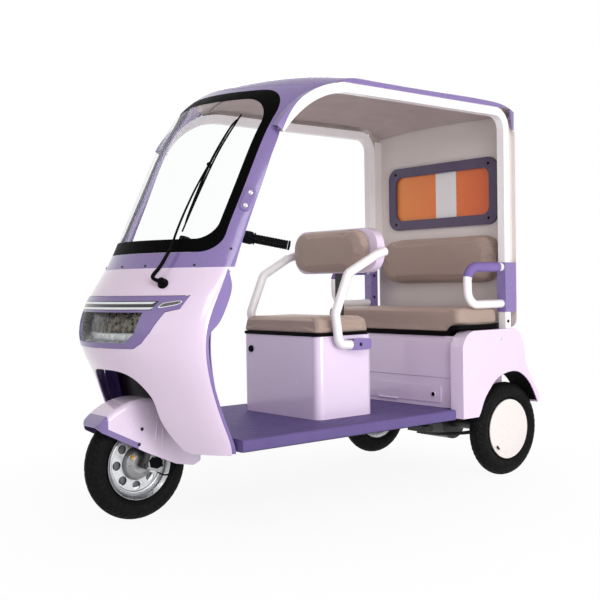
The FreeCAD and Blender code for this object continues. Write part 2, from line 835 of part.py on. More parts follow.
def rear_wall():
    x = FX + val("wall_x")
    thick = val("wall_thickness")
    half = val("wall_half_width") - 8.0
    low = val("wall_low")
    high = val("roof_edge") - 24.0
    wall = rounded_block(x, x + thick, -half, half, low, high, 40.0, vec(1, 0, 0))
    opening = rounded_block(x - 5, x + thick + 5, -val("window_half_width") + 20, val("window_half_width") - 20,
                            val("window_low") + 20, val("window_high") - 20, 40.0, vec(1, 0, 0))
    wall = wall.cut(opening)
    # Returns from the wall forward to the uprights.
    foot = val("bracket_high") + 1.0
    side = Part.makeBox(FX + val("rail_rear") - x - thick - 5.0, thick, high - 40.0 - foot,
                        vec(x + thick, val("rail_y") - 16.0, foot))
    skirt_half = val("fender_inner") - val("panel_gap")
    skirt_low = val("bench_top") + val("lid_gap")
    skirt = Part.makeBox(thick, 2 * skirt_half, low + 20.0 - skirt_low, vec(x, -skirt_half, skirt_low))
    return wall.fuse([side, mirrored(side), skirt]).common(below_roof(0.4))


def window_ring(half, low, high, corner, x0, x1):
    return rounded_block(x0, x1, -half, half, low, high, corner, vec(1, 0, 0))


def rear_window_frame():
    half = val("window_half_width")
    width = val("window_frame_width")
    x = FX + val("wall_x") + val("wall_thickness") + 0.3
    outer = window_ring(half, val("window_low"), val("window_high"), val("window_corner"),
                        x, x + val("window_frame_depth"))
    inner = window_ring(half - width, val("window_low") + width, val("window_high") - width,
                        val("window_inner_corner"), x - 1, x + val("window_frame_depth") + 1)
    return outer.cut(inner)


def rear_window_pane():
    half = val("window_half_width") - 20.6
    x = FX + val("wall_x") + 1.0
    return window_ring(half, val("window_low") + 20.6, val("window_high") - 20.6, 39.4,
                       x, x + val("pane_thickness"))


# Seats


def rear_seat_box():
    """Closed box under the rear bench with side shelves, a raised front panel and a hatch opening."""
    front = FX + val("bench_front")
    rear = FX + val("bench_rear")
    wall = val("bench_wall")
    inner = val("bench_inner_half")
    half = val("bench_half_width")
    top = val("bench_top")
    low = val("floor_high") + 0.3
    body = Part.makeBox(front - rear, 2 * inner, top - low, vec(rear, -inner, low))
    body = body.fuse([
        Part.makeBox(wall, 2 * half, top - low, vec(front - wall, -half, low)),
        Part.makeBox(wall, 2 * half, top - low, vec(rear, -half, low)),
        Part.makeBox(front - rear, 2 * half, wall, vec(rear, -half, top - wall)),
    ])
    space = Part.makeBox(front - rear - 2 * wall, 2 * (inner - wall), top - low,
                         vec(rear + wall, -inner + wall, low + wall))
    lap = 12.0
    hatch_half = val("hatch_half_width") - lap
    hatch_tall = val("hatch_high") - val("hatch_low") - 2 * lap
    hole = Part.makeBox(40, 2 * hatch_half, hatch_tall, vec(front - 30, -hatch_half, val("hatch_low") + lap))
    drawer = rounded_block(front - 1.0, front + wall, -val("drawer_half_width"), val("drawer_half_width"),
                           val("drawer_low"), val("drawer_high"), 14.0, vec(1, 0, 0))
    rim = [edge for edge in drawer.Edges if edge.BoundBox.XMin > front + wall - 0.1]
    arch = wheel_arch(0.0, inner, half + wall)
    return body.cut([space, hole, arch, mirrored(arch)]).fuse(drawer.makeFillet(2.5, rim))


def hinge_rod(x, z, half):
    """Round hinge pin across the vehicle."""
    return Part.makeCylinder(val("hinge_radius"), 2 * half, vec(x, -half, z), vec(0, 1, 0))


def battery_hatch():
    """Flap over the battery space, hung on its lower edge."""
    front = FX + val("bench_front") + 0.5
    wall = val("hatch_wall")
    half = val("hatch_half_width")
    low = val("hatch_low")
    flap = rounded_block(front, front + wall, -half, half, low, val("hatch_high"), 8.0, vec(1, 0, 0))
    lock = Part.makeCylinder(10, 4, vec(front + wall, half - 40.0, 0.5 * (low + val("hatch_high"))), vec(1, 0, 0))
    return flap.fuse([lock, hinge_rod(front + val("hinge_radius"), low, 60.0)])


def bench_outline(low, high, inset):
    """Plan form of the rear bench: narrow between the rear posts, wide over the mudguards."""
    rear = FX + val("bench_cushion_rear") + inset
    front = FX + val("bench_front") + 8.0 - inset
    narrow = val("bench_cushion_half") - inset
    wide = val("bench_wing") - inset
    wing_rear = FX + val("bench_wing_rear")
    body = rounded_block(rear, front, -narrow, narrow, low, high, 40.0, vec(0, 0, 1))
    wings = rounded_block(wing_rear + inset, front, -wide, wide, low, high, 40.0, vec(0, 0, 1))
    return body.fuse(wings).removeSplitter()


def bench_profile(low, high):
    """Front view of a layer of the rear bench: level between the mudguards, raised over them."""
    rise = val("bench_wing_rise")
    inner = val("fender_inner") - 48.0
    outer = val("fender_inner") - 2.0
    wing = val("bench_wing") + 10.0
    x = FX + val("bench_rear")

    def rising(level, step):
        points = [vec(x, y, level + step * smooth((y - inner) / (outer - inner)))
                  for y in (inner, inner + 11.5, 0.5 * (inner + outer), outer - 11.5, outer)]
        back = [vec(x, -point.y, point.z) for point in reversed(points)]
        middle = Part.makeLine(back[-1], points[0])
        ends = [Part.makeLine(points[-1], vec(x, wing, points[-1].z)), Part.makeLine(vec(x, -wing, back[0].z), back[0])]
        return [ends[1], curve(back), middle, curve(points), ends[0]]

    under = rising(low, rise)
    over = rising(high[0], high[1])
    level_low = low + rise
    level_high = high[0] + high[1]
    sides = [Part.makeLine(vec(x, wing, level_low), vec(x, wing, level_high)),
             Part.makeLine(vec(x, -wing, level_low), vec(x, -wing, level_high))]
    wire = Part.Wire(Part.__sortEdges__(under + over + sides))
    return Part.Face(wire).extrude(vec(500.0, 0, 0))


def rear_seat_base():
    """Board and black lip of the rear bench."""
    low = val("bench_top") + val("lid_gap")
    high = low + val("bench_base")
    layer = bench_profile(low, (high, val("bench_wing_rise")))
    return bench_outline(low - 5.0, high + 60.0, 0.0).common(layer)


def rear_seat_cushion():
    low = val("bench_top") + val("lid_gap") + val("bench_base") + 0.3
    high = val("bench_cushion_top")
    layer = bench_profile(low, (high, 0.0))
    pad = bench_outline(low - 5.0, high, 3.0)
    edges = [edge for edge in pad.Edges if edge.BoundBox.ZMin > high - 1]
    return pad.makeFillet(16.0, edges).common(layer)


def rear_backrest():
    x = FX + val("wall_x") + val("wall_thickness") + 0.3
    half = val("rest_half_width")
    solid = rounded_block(x, x + val("rest_thickness"), -half, half, val("rest_low"), val("rest_high"),
                          val("rest_corner"), vec(1, 0, 0))
    edges = [edge for edge in solid.Edges if edge.BoundBox.XMin > x + val("rest_thickness") - 1]
    return solid.makeFillet(26.0, edges)


def driver_seat_box():
    """Upright box with round front corners, open on top."""
    front = FX + val("box_front")
    rear = front - val("box_length")
    half = val("box_half_width")
    wall = val("box_wall")
    low = val("floor_high") + 0.3
    high = val("box_high")
    body = rounded_block(rear, front, -half, half, low, high, val("box_corner"), vec(0, 0, 1))
    space = rounded_block(rear + wall, front - wall, -half + wall, half - wall, low + wall, high + 10,
                          val("box_corner") - wall, vec(0, 0, 1))
    return body.cut(space)


def driver_lid_form(low, high, grow, corner):
    front = FX + val("box_front") + grow
    rear = FX + val("box_front") - val("box_length") + 14.0
    half = val("box_half_width") + grow
    return rounded_block(rear, front, -half, half, low, high, corner, vec(0, 0, 1))


def driver_seat_base():
    low = val("box_high") + val("lid_gap")
    rear = FX + val("box_front") - val("box_length") + 14.0
    board = driver_lid_form(low, low + val("seat_base"), 4.0, val("box_corner"))
    return board.fuse(hinge_rod(rear, low, 100.0))


def driver_seat_cushion():
    low = val("box_high") + val("lid_gap") + val("seat_base") + 0.3
    high = low + val("seat_cushion")
    solid = driver_lid_form(low, high, 2.0, val("box_corner"))
    edges = [edge for edge in solid.Edges if edge.BoundBox.ZMin > high - 1]
    return solid.makeFillet(13.0, edges)


def driver_rest_form(x0, x1, half, low, high):
    return rounded_block(x0, x1, -half, half, low, high, val("driver_rest_corner"), vec(1, 0, 0))


def driver_backrest():
    front = FX + val("driver_rest_front")
    thick = val("driver_rest_thick")
    solid = driver_rest_form(front - thick, front, val("driver_rest_half"), val("driver_rest_low"), val("driver_rest_high"))
    edges = [edge for edge in solid.Edges if edge.BoundBox.XMin > front - 1]
    return solid.makeFillet(16.0, edges)


def driver_backrest_shell():
    front = FX + val("driver_rest_front") - val("driver_rest_thick") - 0.3
    thick = val("shell_thick")
    form = driver_rest_form(front - thick, front, val("shell_half"), val("driver_rest_low") - 6.0,
                            val("driver_rest_high") + 4.0)
    size = val("post_size") + 0.6
    slot = Part.makeBox(21.0, size, 200.0, vec(FX + val("post_x") - 20.5, -size / 2, 1030.3 - 200.0))
    return form.cut(slot)


def driver_arm(side):
    """Tube from the backrest round to the side of the seat box, with its cast foot."""
    y = side * val("arm_y")
    rest = FX + val("driver_rest_front") - val("driver_rest_thick") + 6.0
    front = FX + val("box_front")
    outer = side * (val("shell_half") + 0.4 + val("arm_radius"))
    points = [(rest - 30, outer, 1000.0), (rest + 20, outer, 985.0), (front - 142, y, 908.0), (front - 70, y, 745.0),
              (front - 88, y, 622.0), (front - 160, y, 618.0)]
    path = [vec(*point) for point in points]
    pipe = tube(points, 34.0, val("arm_radius"))
    inner = side * (val("box_half_width") + 0.3)
    outer = side * (val("arm_y") + 14.0)
    back = front - 160.0 - val("foot_length")
    low = 618.0 - val("foot_height") / 2
    foot = rounded_block(back, front - 150.0, min(inner, outer), max(inner, outer), low, low + val("foot_height"),
                         16.0, vec(0, 1, 0))
    return pipe.fuse(foot)


def backrest_post():
    """Post behind the seat box that carries the backrest."""
    x = FX + val("post_x")
    size = val("post_size")
    low = 520.0
    high = 1030.0
    rear = FX + val("box_front") - val("box_length")
    post = Part.makeBox(20, size, high - low, vec(x - 20, -size / 2, low))
    foot = Part.makeBox(rear - 0.3 - x + 10, 60, 60, vec(x - 10, -30, low))
    return post.fuse(foot)


# Rear mudguards


FENDER_BACK = [(-1702.0, 630.0), (-1722.0, 598.0), (-1734.0, 552.0), (-1750.0, 482.0), (-1786.0, 425.0),
               (-1821.0, 374.0), (-1841.0, 334.0), (-1834.0, 318.0)]
ARCH_LINE = [(-1393.0, 270.0), (-1427.0, 304.0), (-1447.0, 346.0), (-1482.0, 391.0), (-1544.0, 443.0),
             (-1614.0, 464.0), (-1685.0, 462.0), (-1728.0, 442.0), (-1764.0, 413.0), (-1798.0, 368.0), (-1822.0, 326.0)]


def inset_line(points, inset):
    """Points of a line running back and down, moved inward."""
    moved = []
    for index, (x, z) in enumerate(points):
        x0, z0 = points[max(index - 1, 0)]
        x1, z1 = points[min(index + 1, len(points) - 1)]
        size = math.hypot(x1 - x0, z1 - z0)
        moved.append((x - inset * (z1 - z0) / size, z + inset * (x1 - x0) / size))
    return moved


def fender_outline(inset):
    """Side view of a rear mudguard, moved inward, without the wheel opening."""
    front = FX + val("fender_front") - inset
    low = val("fender_low") if inset == 0.0 else val("fender_low") - 40.0
    top = val("fender_top")
    corner = vec(front, 0, top - 90)
    bend = vec(front - 20 + 0.3 * inset, 0, top - 28 - 0.7 * inset)
    flat = vec(front - 78 + inset, 0, top - inset)
    back_line = [vec(FX + x, 0, z) for x, z in inset_line([(val("fender_flat_end"), top)] + FENDER_BACK, inset)]
    back_line[0] = vec(FX + val("fender_flat_end"), 0, top - inset)
    last = back_line[-1]
    close = Part.makePolygon([last, vec(last.x + 40, 0, low), vec(front, 0, low)])
    edges = [Part.makeLine(vec(front, 0, low), corner), Part.Arc(corner, bend, flat).toShape(),
             Part.makeLine(flat, back_line[0]), curve(back_line)]
    return Part.Wire(edges + close.Edges)


def wheel_arch(inset, y0, y1):
    """Wheel opening of a rear mudguard, closed below, as a solid across it."""
    line = [vec(FX + x, y0, z) for x, z in inset_line(ARCH_LINE, inset)]
    first = line[0]
    last = line[-1]
    close = Part.makePolygon([last, vec(last.x - 60, y0, 180.0), vec(first.x, y0, 180.0), first])
    return Part.Face(Part.Wire([curve(line)] + close.Edges)).extrude(vec(0, y1 - y0, 0))


def rear_fender(side):
    """Deep shell over a rear wheel, open towards the seat box and below."""
    outer = val("fender_outer")
    inner = val("fender_inner")
    wall = val("fender_wall")
    width = outer - inner
    solid = Part.Face(fender_outline(0.0)).extrude(vec(0, width, 0))
    solid.translate(vec(0, inner, 0))
    hollow = Part.Face(fender_outline(wall)).extrude(vec(0, width - wall + 20, 0))
    hollow.translate(vec(0, inner - 20, 0))
    shape = solid.cut(hollow).cut(wheel_arch(0.0, inner - 20, outer + 20))
    return shape if side > 0 else mirrored(shape)


def wheel_liner(side):
    """Black arch liner inside a rear mudguard."""
    outer = val("fender_outer") - val("fender_wall") - 0.4
    inner = val("bench_inner_half") + 0.5
    ring = wheel_arch(0.4, inner, outer).cut(wheel_arch(3.4, inner - 5, outer + 5))
    upper = Part.makeBox(700, 200, 400, vec(RX - 350, inner - 20, val("floor_high") + 2.0))
    ring = ring.common(upper)
    return ring if side > 0 else mirrored(ring)


# Grab handles


def grab_handle(side):
    y = side * val("grab_y")
    x = FX + val("rail_rear") + val("rail_size") + 4.0
    front = FX + val("grab_front")
    points = [(x, y, val("grab_high")), (front + 6, y, val("grab_high")), (front, y, val("grab_low")), (x, y, val("grab_low"))]
    return tube(points, val("grab_bend"), val("grab_radius"))


def handle_bracket(side):
    """Moulded cover round the foot of the rear upright that carries the handle."""
    size = val("rail_size")
    y = val("rail_y")
    x0 = FX + val("rail_rear") - 34.0
    low = val("bracket_low")
    high = val("bracket_high")
    gap = 0.4
    front = FX + val("rail_rear") + size + 3.6
    outer = Part.makeBox(front - x0, size + 10, high - low, vec(x0, y - size / 2 - 5, low))
    inner = Part.makeBox(size + 2 * gap, size + 2 * gap, high - low + 20,
                         vec(FX + val("rail_rear") - gap, y - size / 2 - gap, low - 10))
    back = Part.makeBox(FX + val("rail_rear") - gap - 4 - x0 + 10, size + 4, high - low - 8,
                        vec(x0 - 10, y - size / 2 - 5, low + 4))
    shape = outer.cut(inner).cut(back)
    return shape if side > 0 else mirrored(shape)


# Floor


def floor_piece(x0, x1, well):
    """Pressed floor tray, open below, with a round front well for the wheel."""
    half = val("floor_half_width")
    wall = val("floor_wall")
    low = val("floor_low")
    high = val("floor_high")
    body = rounded_block(FX + x1, FX + x0, -half, half, low, high, 10.0, vec(1, 0, 0))
    under = Part.makeBox(x0 - x1 - 2 * wall, 2 * (half - wall), high - low - wall,
                         vec(FX + x1 + wall, -half + wall, low - 0.01))
    shape = body.cut(under)
    if well:
        shape = shape.cut(well_tool())
        shape = shape.cut(Part.makeBox(60, 50, 60, vec(FX - 372, -25, high - 20)))
    else:
        inner = val("bench_inner_half") - 0.6
        tongue = Part.makeBox(val("floor_rear") - val("bench_front") - 0.4, 2 * inner, wall,
                              vec(FX + val("bench_front") + 0.4, -inner, high - wall))
        shape = shape.fuse(tongue)
    return shape


# Chassis


def steer(point_x, point_y, point_z):
    """A point given along the steering axis frame: ahead of the axis, sideways, up from the axle."""
    angle = math.radians(val("rake_angle"))
    offset = val("fork_offset")
    ahead = vec(math.cos(angle), 0, math.sin(angle))
    up = vec(-math.sin(angle), 0, math.cos(angle))
    base = vec(FX, 0, val("tyre_radius")) - ahead * offset
    return base + ahead * point_x + up * point_z + vec(0, point_y, 0)


def steer_place(shape):
    """Turns a shape built with the steering axis upright at the origin into its real place."""
    angle = val("rake_angle")
    turned = shape.copy()
    turned.rotate(vec(0, 0, 0), vec(0, 1, 0), -angle)
    turned.translate(steer(0, 0, 0))
    return turned


def spring_hangers(low, beam):
    """Plates that hang from the beams and hold the ends of the springs."""
    half = val("spring_width") / 2
    inner = val("beam_y") - beam / 2
    outer = val("spring_y") + half
    axle_low = val("tyre_radius") - val("axle_tube") - 0.3
    hangers = []
    for reach, depth in ((val("spring_front"), 50.0), (-val("spring_rear"), 30.0)):
        rise = val("spring_bow") * (reach / val("spring_front")) ** 2
        foot = axle_low + rise + 0.5
        start = RX + reach - (depth if reach > 0 else 0.0)
        plate = Part.makeBox(depth, outer - inner, low + 6.0 - foot, vec(start, inner, foot))
        hangers += [plate, mirrored(plate)]
    return hangers


def chassis_frame():
    beam = val("beam_width")
    tall = val("beam_height")
    wall = val("beam_wall")
    low = val("floor_low") - tall - 0.3
    front = FX + val("beam_front")
    rear = FX + val("beam_rear")
    parts = []
    y = val("beam_y")
    outer = Part.makeBox(front - rear, beam, tall, vec(rear, y - beam / 2, low))
    inner = Part.makeBox(front - rear + 2, beam - 2 * wall, tall - 2 * wall, vec(rear - 1, y - beam / 2 + wall, low + wall))
    side = outer.cut(inner)
    parts += [side, mirrored(side)]
    for x in (front - 40, FX - 600, FX - 1230, rear + 0.0):
        parts.append(Part.makeBox(40, 2 * y - beam, tall - 12, vec(x, -y + beam / 2, low + 6)))
    top = low + tall
    for x in (FX - 1385, FX - 1705):
        riser = Part.makeBox(40, beam, val("floor_high") - top, vec(x, y - beam / 2, top))
        parts += [riser, mirrored(riser)]
    parts += spring_hangers(low, beam)
    # Column from the front cross member up to the steering head.
    radius = val("stem_radius") + val("stem_play") + val("head_wall")
    head = Part.makeCylinder(radius, val("head_high") - val("head_low"), vec(0, 0, val("head_low")))
    bore = Part.makeCylinder(val("stem_radius") + val("stem_play"), 900, vec(0, 0, 0))
    top = steer(-radius * 0.6, 0, val("head_low") + 120)
    foot = vec(front - 20, 0, low + tall / 2)
    knee = vec(FX - 330, 0, 430)
    column = tube([(foot.x, 0, foot.z), (knee.x, 0, knee.z), (top.x, 0, top.z)], 60.0, 21.0)
    body = parts[0].fuse(parts[1:] + [column, steer_place(head)])
    return body.cut(steer_place(bore))


def battery_block():
    """Battery pack at the back of the box under the rear bench."""
    rear = FX + val("bench_rear") + val("bench_wall") + 4.0
    low = val("floor_high") + 0.3 + val("bench_wall") + 0.3
    half = val("battery_width") / 2
    return rounded_block(rear, rear + val("battery_length"), -half, half, low, low + val("battery_height"), 8.0,
                         vec(0, 0, 1))


def rear_axle():
    reach = val("rear_wheel_y") + 20.0
    z = val("tyre_radius")
    tube_half = val("rear_wheel_y") - 45.0
    housing = Part.makeCylinder(val("axle_tube"), 2 * tube_half, vec(RX, -tube_half, z), vec(0, 1, 0))
    shaft = Part.makeCylinder(val("axle_radius"), 2 * reach, vec(RX, -reach, z), vec(0, 1, 0))
    motor = Part.makeCylinder(val("motor_radius"), val("motor_length"), vec(RX, -val("motor_length") / 2 + 30, z), vec(0, 1, 0))
    return housing.fuse([shaft, motor])


def spring_leaf(front, rear, top, thick):
    """Side outline of one bowed leaf hung under the axle."""
    bow = val("spring_bow")
    reach = val("spring_front")
    upper = []
    for x in (-rear, -0.5 * rear, 0.0, 0.33 * front, 0.67 * front, front):
        upper.append(vec(RX + x, 0, top + bow * (x / reach) ** 2))
    lower = [vec(point.x, 0, point.z - thick) for point in upper]
    ends = [Part.makeLine(upper[-1], lower[-1]), Part.makeLine(lower[0], upper[0])]
    return Part.Face(Part.Wire([curve(upper), ends[0], curve(lower), ends[1]]))


def leaf_springs():
    """Leaf packs under the axle, with clamps round it."""
    thick = val("spring_leaf")
    width = val("spring_width")
    axle_low = val("tyre_radius") - val("axle_tube") - 0.3
    solids = []
    for side in (-1, 1):
        leaves = []
        for index, share in enumerate((1.0, 0.74, 0.48)):
            face = spring_leaf(val("spring_front") * share, val("spring_rear") * share, axle_low - index * thick, thick)
            leaf = face.extrude(vec(0, width, 0))
            leaf.translate(vec(0, side * val("spring_y") - width / 2, 0))
            leaves.append(leaf)
        solids.append(leaves[0].fuse(leaves[1:]))
    return Part.makeCompound(solids)


# Steering parts


def steering_fork():
    radius = val("fork_leg_radius")
    y = val("fork_leg_y")
    offset = val("fork_offset")
    low = val("crown_low")
    high = val("crown_high")
    legs = []
    for side in (-1, 1):
        legs.append(Part.makeCylinder(radius, high + 12.0, vec(offset, side * y, -12.0)))
    crown = rounded_block(-24, offset + 20, -y - 4, y + 4, low, high, 8.0, vec(0, 0, 1))
    stem = Part.makeCylinder(val("stem_radius"), val("bar_height") - 24 - high, vec(0, 0, high))
    axle = Part.makeCylinder(val("axle_radius"), 2 * (y + radius + 8), vec(offset, -y - radius - 8, 0), vec(0, 1, 0))
    return steer_place(legs[0].fuse([legs[1], crown, stem, axle]))


def handlebar():
    """Bar with its clamp on the stem and two hand grips swept back."""
    high = val("bar_height") + 0.0
    half = val("bar_half")
    clamp = Part.makeCylinder(val("stem_radius") + 8, 48, vec(0, 0, high - 48))
    bore = Part.makeCylinder(val("stem_radius") + 0.2, 40, vec(0, 0, high - 63.7))
    points = [(10.0, 0.0, high - 10.0), (0.0, 90.0, high - 4.0), (-30.0, half, high + 14.0),
              (-150.0, half + 95.0, high + 24.0)]
    left = tube(points, 30.0, val("bar_radius"))
    return steer_place(clamp.fuse([left, mirrored(left)]).cut(bore))


def grips():
    high = val("bar_height")
    half = val("bar_half")
    start = vec(-30.0, half, high + 14.0)
    end = vec(-150.0, half + 95.0, high + 24.0)
    way = (end - start).normalize()
    base = start + way * 26.0
    grip = Part.makeCylinder(val("grip_radius"), val("grip_length") + 10, base, way)
    grip = grip.cut(Part.makeCylinder(val("bar_radius") + 0.1, val("grip_length") + 9, base - way * 1.0, way))
    return Part.makeCompound([steer_place(grip), steer_place(mirrored(grip))])


def front_fender():
    """Deep front mudguard over the wheel and both fork legs."""
    radius = val("guard_radius")
    half = val("guard_half_width")
    wall = val("guard_wall")
    centre = vec(FX, 0, val("tyre_radius"))

    def outline(size, drop):
        nose = math.radians(40.0)
        tail = math.radians(182.0)
        first = vec(centre.x + size * math.cos(nose), 0, centre.z + size * math.sin(nose))
        middle = vec(centre.x + size * math.cos(math.radians(105)), 0, centre.z + size * math.sin(math.radians(105)))
        last = vec(centre.x + size * math.cos(tail), 0, centre.z + size * math.sin(tail))
        arc = Part.Arc(first, middle, last).toShape()
        low = Part.makePolygon([last, vec(FX - 205, 0, 184.0 - drop), vec(FX - 130, 0, 199.0 - drop),
                                vec(FX - 10, 0, 253.0 - drop), vec(FX + 172, 0, 345.0 - drop), first])
        return Part.Face(Part.Wire([arc] + low.Edges))

    outer = outline(radius, 0.0).extrude(vec(0, 2 * half, 0))
    outer.translate(vec(0, -half, 0))
    crown = [edge for edge in outer.Edges if edge.Curve.TypeId == "Part::GeomCircle"]
    outer = outer.makeFillet(18.0, crown)
    plan = rounded_block(FX - radius - 20, FX + 192.0, -half - 0.1, half + 0.1, 100.0, 500.0, 52.0, vec(0, 0, 1))
    outer = outer.common(plan)
    inner = outline(radius - wall, 60.0).extrude(vec(0, 2 * (half - wall), 0))
    inner.translate(vec(0, -half + wall, 0))
    crown = [edge for edge in inner.Edges if edge.Curve.TypeId == "Part::GeomCircle"]
    inner = inner.makeFillet(15.0, crown)
    hollow = rounded_block(FX - radius - 40, FX + 192.0 - wall, -half + wall, half - wall, 90.0, 510.0, 52.0 - wall,
                           vec(0, 0, 1))
    inner = inner.common(hollow)
    shell = outer.cut(inner)
    hole = steer_place(Part.makeCylinder(val("stem_radius") + 1.0, 300, vec(0, 0, 230)))
    return shell.cut(hole)


def front_caliper():
    """Brake caliper on the left fork leg."""
    y = val("fork_leg_y") - val("fork_leg_radius") - 0.5
    reach = val("fork_offset") - val("fork_leg_radius") - 0.3
    body = Part.makeBox(reach + 40, 24, 50, vec(-40, y - 6, -10))
    return steer_place(body)


# Wheels


def tyre(name, x, y):
    """Round-section tyre on its bead circle."""
    ring = doc.addObject("Part::Torus", name + "_ring")
    ring.setExpression("Radius1", bind("tyre_radius - tyre_section"))
    ring.setExpression("Radius2", bind("tyre_section"))
    ring.Placement.Rotation = FreeCAD.Rotation(vec(1, 0, 0), -90)
    put(ring, x, y, "tyre_radius")
    hole = rod(name + "_bead", x, y + " - 60", "tyre_radius", "bead_radius + 0.2", "120", "y")
    return keep(cut(name, ring, hole), name)


def wheel_profile(body, name, points):
    """Closed outline whose corners are tied to the sheet, on the plane of the wheel's axle."""
    sketch = body.newObject("Sketcher::SketchObject", name + "_outline")
    plane = [item for item in body.Origin.OriginFeatures if item.Role == "YZ_Plane"][0]
    sketch.AttachmentSupport = [(plane, "")]
    sketch.MapMode = "FlatFace"
    count = len(points)
    start = [vec(10.0 + index, 10.0 + (index * index) % 7, 0) for index in range(count)]
    for index in range(count):
        sketch.addGeometry(Part.LineSegment(start[index], start[(index + 1) % count]), False)
    for index in range(count):
        sketch.addConstraint(Sketcher.Constraint("Coincident", index, 2, (index + 1) % count, 1))
    for index, (across, out) in enumerate(points):
        number = sketch.addConstraint(Sketcher.Constraint("DistanceX", -1, 1, index, 1, 1.0 + index))
        sketch.setExpression("Constraints[%d]" % number, bind(across))
        number = sketch.addConstraint(Sketcher.Constraint("DistanceY", -1, 1, index, 1, 2.0 + index))
        sketch.setExpression("Constraints[%d]" % number, bind(out))
    return sketch


def revolved_wheel(name, points, x, y):
    """A turned piece on a wheel's axle, from half its section."""
    body = doc.addObject("PartDesign::Body", name)
    sketch = wheel_profile(body, name, points)
    doc.recompute()
    turned = body.newObject("PartDesign::Revolution", name + "_turned")
    turned.Profile = sketch
    turned.ReferenceAxis = (sketch, ["H_Axis"])
    turned.Angle = 360.0
    put(body, x, y, "tyre_radius")
    return body


def wheel_rim(name, x, y):
    """Pressed rim with hub, disc, barrel and flanges."""
    half = "rim_width / 2"
    points = [
        ("0 - hub_width / 2", "axle_radius + axle_play"),
        ("hub_width / 2", "axle_radius + axle_play"),
        ("hub_width / 2", "hub_radius"),
        ("rim_disc / 2", "hub_radius"),
        ("rim_disc / 2", "bead_radius - rim_wall - 14"),
        (half + " - 10", "bead_radius - rim_wall - 8"),
        (half, "bead_radius - rim_wall + 3"),
        (half, "bead_radius"),
        ("0 - " + half, "bead_radius"),
        ("0 - " + half, "bead_radius - rim_wall + 3"),
        ("10 - " + half, "bead_radius - rim_wall - 8"),
        ("0 - rim_disc / 2", "bead_radius - rim_wall - 14"),
        ("0 - rim_disc / 2", "hub_radius"),
        ("0 - hub_width / 2", "hub_radius"),
    ]
    return revolved_wheel(name, points, x, y)


def hub_cap(name, x, y, side):
    """Dished cover over the outer face of a rear wheel."""
    sign = "" if side > 0 else "0 - "
    face = sign + "( rim_width / 2 + 0.3 )"
    lip = sign + "( rim_width / 2 + cap_wall + 0.3 )"
    crown = sign + "( rim_width / 2 + cap_height )"
    under = sign + "( rim_width / 2 + cap_height - cap_wall )"
    points = [(under, "0"), (crown, "0"), (crown, "cap_radius * 0.6"), (lip, "cap_radius"), (face, "cap_radius"),
              (face, "cap_radius - 10"), (under, "cap_radius * 0.55")]
    if side < 0:
        points = [points[0]] + list(reversed(points[1:]))
    return keep(revolved_wheel(name, points, x, y), name)


def rim_with_holes(name, x, y):
    """Rim with a ring of round holes through its disc."""
    body = wheel_rim(name, x, y)
    doc.recompute()
    sketch = body.newObject("Sketcher::SketchObject", name + "_hole")
    plane = [item for item in body.Origin.OriginFeatures if item.Role == "XZ_Plane"][0]
    sketch.AttachmentSupport = [(plane, "")]
    sketch.MapMode = "FlatFace"
    sketch.addGeometry(Part.Circle(vec(0, 80, 0), vec(0, 0, 1), 14), False)
    number = sketch.addConstraint(Sketcher.Constraint("Radius", 0, 14.0))
    sketch.setExpression("Constraints[%d]" % number, bind("rim_hole"))
    sketch.addConstraint(Sketcher.Constraint("DistanceX", -1, 1, 0, 3, 0.0))
    number = sketch.addConstraint(Sketcher.Constraint("DistanceY", -1, 1, 0, 3, 80.0))
    sketch.setExpression("Constraints[%d]" % number, bind("rim_hole_circle"))
    doc.recompute()
    pocket = body.newObject("PartDesign::Pocket", name + "_bore")
    pocket.Profile = sketch
    pocket.Type = 1
    pocket.Midplane = True
    doc.recompute()
    ring = body.newObject("PartDesign::PolarPattern", name + "_ring")
    ring.Originals = [pocket]
    axis = [item for item in body.Origin.OriginFeatures if item.Role == "Y_Axis"][0]
    ring.Axis = (axis, [""])
    ring.Angle = 360.0
    ring.setExpression("Occurrences", bind("rim_hole_count"))
    body.Tip = ring
    return keep(body, name)


def windscreen_wiper():
    """Motor cap, arm and blade of the wiper, on the outside of the glass."""
    def on_skin(y, z, out):
        bow = val("skin_bow") / 1000.0
        slope = 2 * bow * y
        size = math.sqrt(1 + slope * slope)
        return (nose_x(z) - bow * y * y + out / size, y + out * slope / size, z)

    pivot = on_skin(243.0, 884.0, -6.0)
    outward = vec(1, 2 * val("skin_bow") / 1000.0 * 243.0, 0).normalize()
    cap = Part.makeCylinder(11.0, 36.0, vec(*pivot), outward).cut(skin_solid(-0.4))
    arm = tube([on_skin(243.0, 884.0, 24.0), on_skin(212.0, 960.0, 26.0), on_skin(206.0, 1200.0, 26.0),
                on_skin(234.0, 1300.0, 20.0)], 20.0, 5.0)
    blade = tube([on_skin(225.0, 1062.0, 11.0), on_skin(231.0, 1200.0, 11.5), on_skin(240.0, 1340.0, 11.5),
                  on_skin(257.0, 1500.0, 11.0)], 300.0, 5.0)
    return cap.fuse([arm, blade])


def tail_lamps():
    x = FX + val("bench_rear") - 0.3
    lamp = rounded_block(x - 16, x, 235.0, 335.0, 545.0, 615.0, 12.0, vec(1, 0, 0))
    return Part.makeCompound([lamp, mirrored(lamp)])


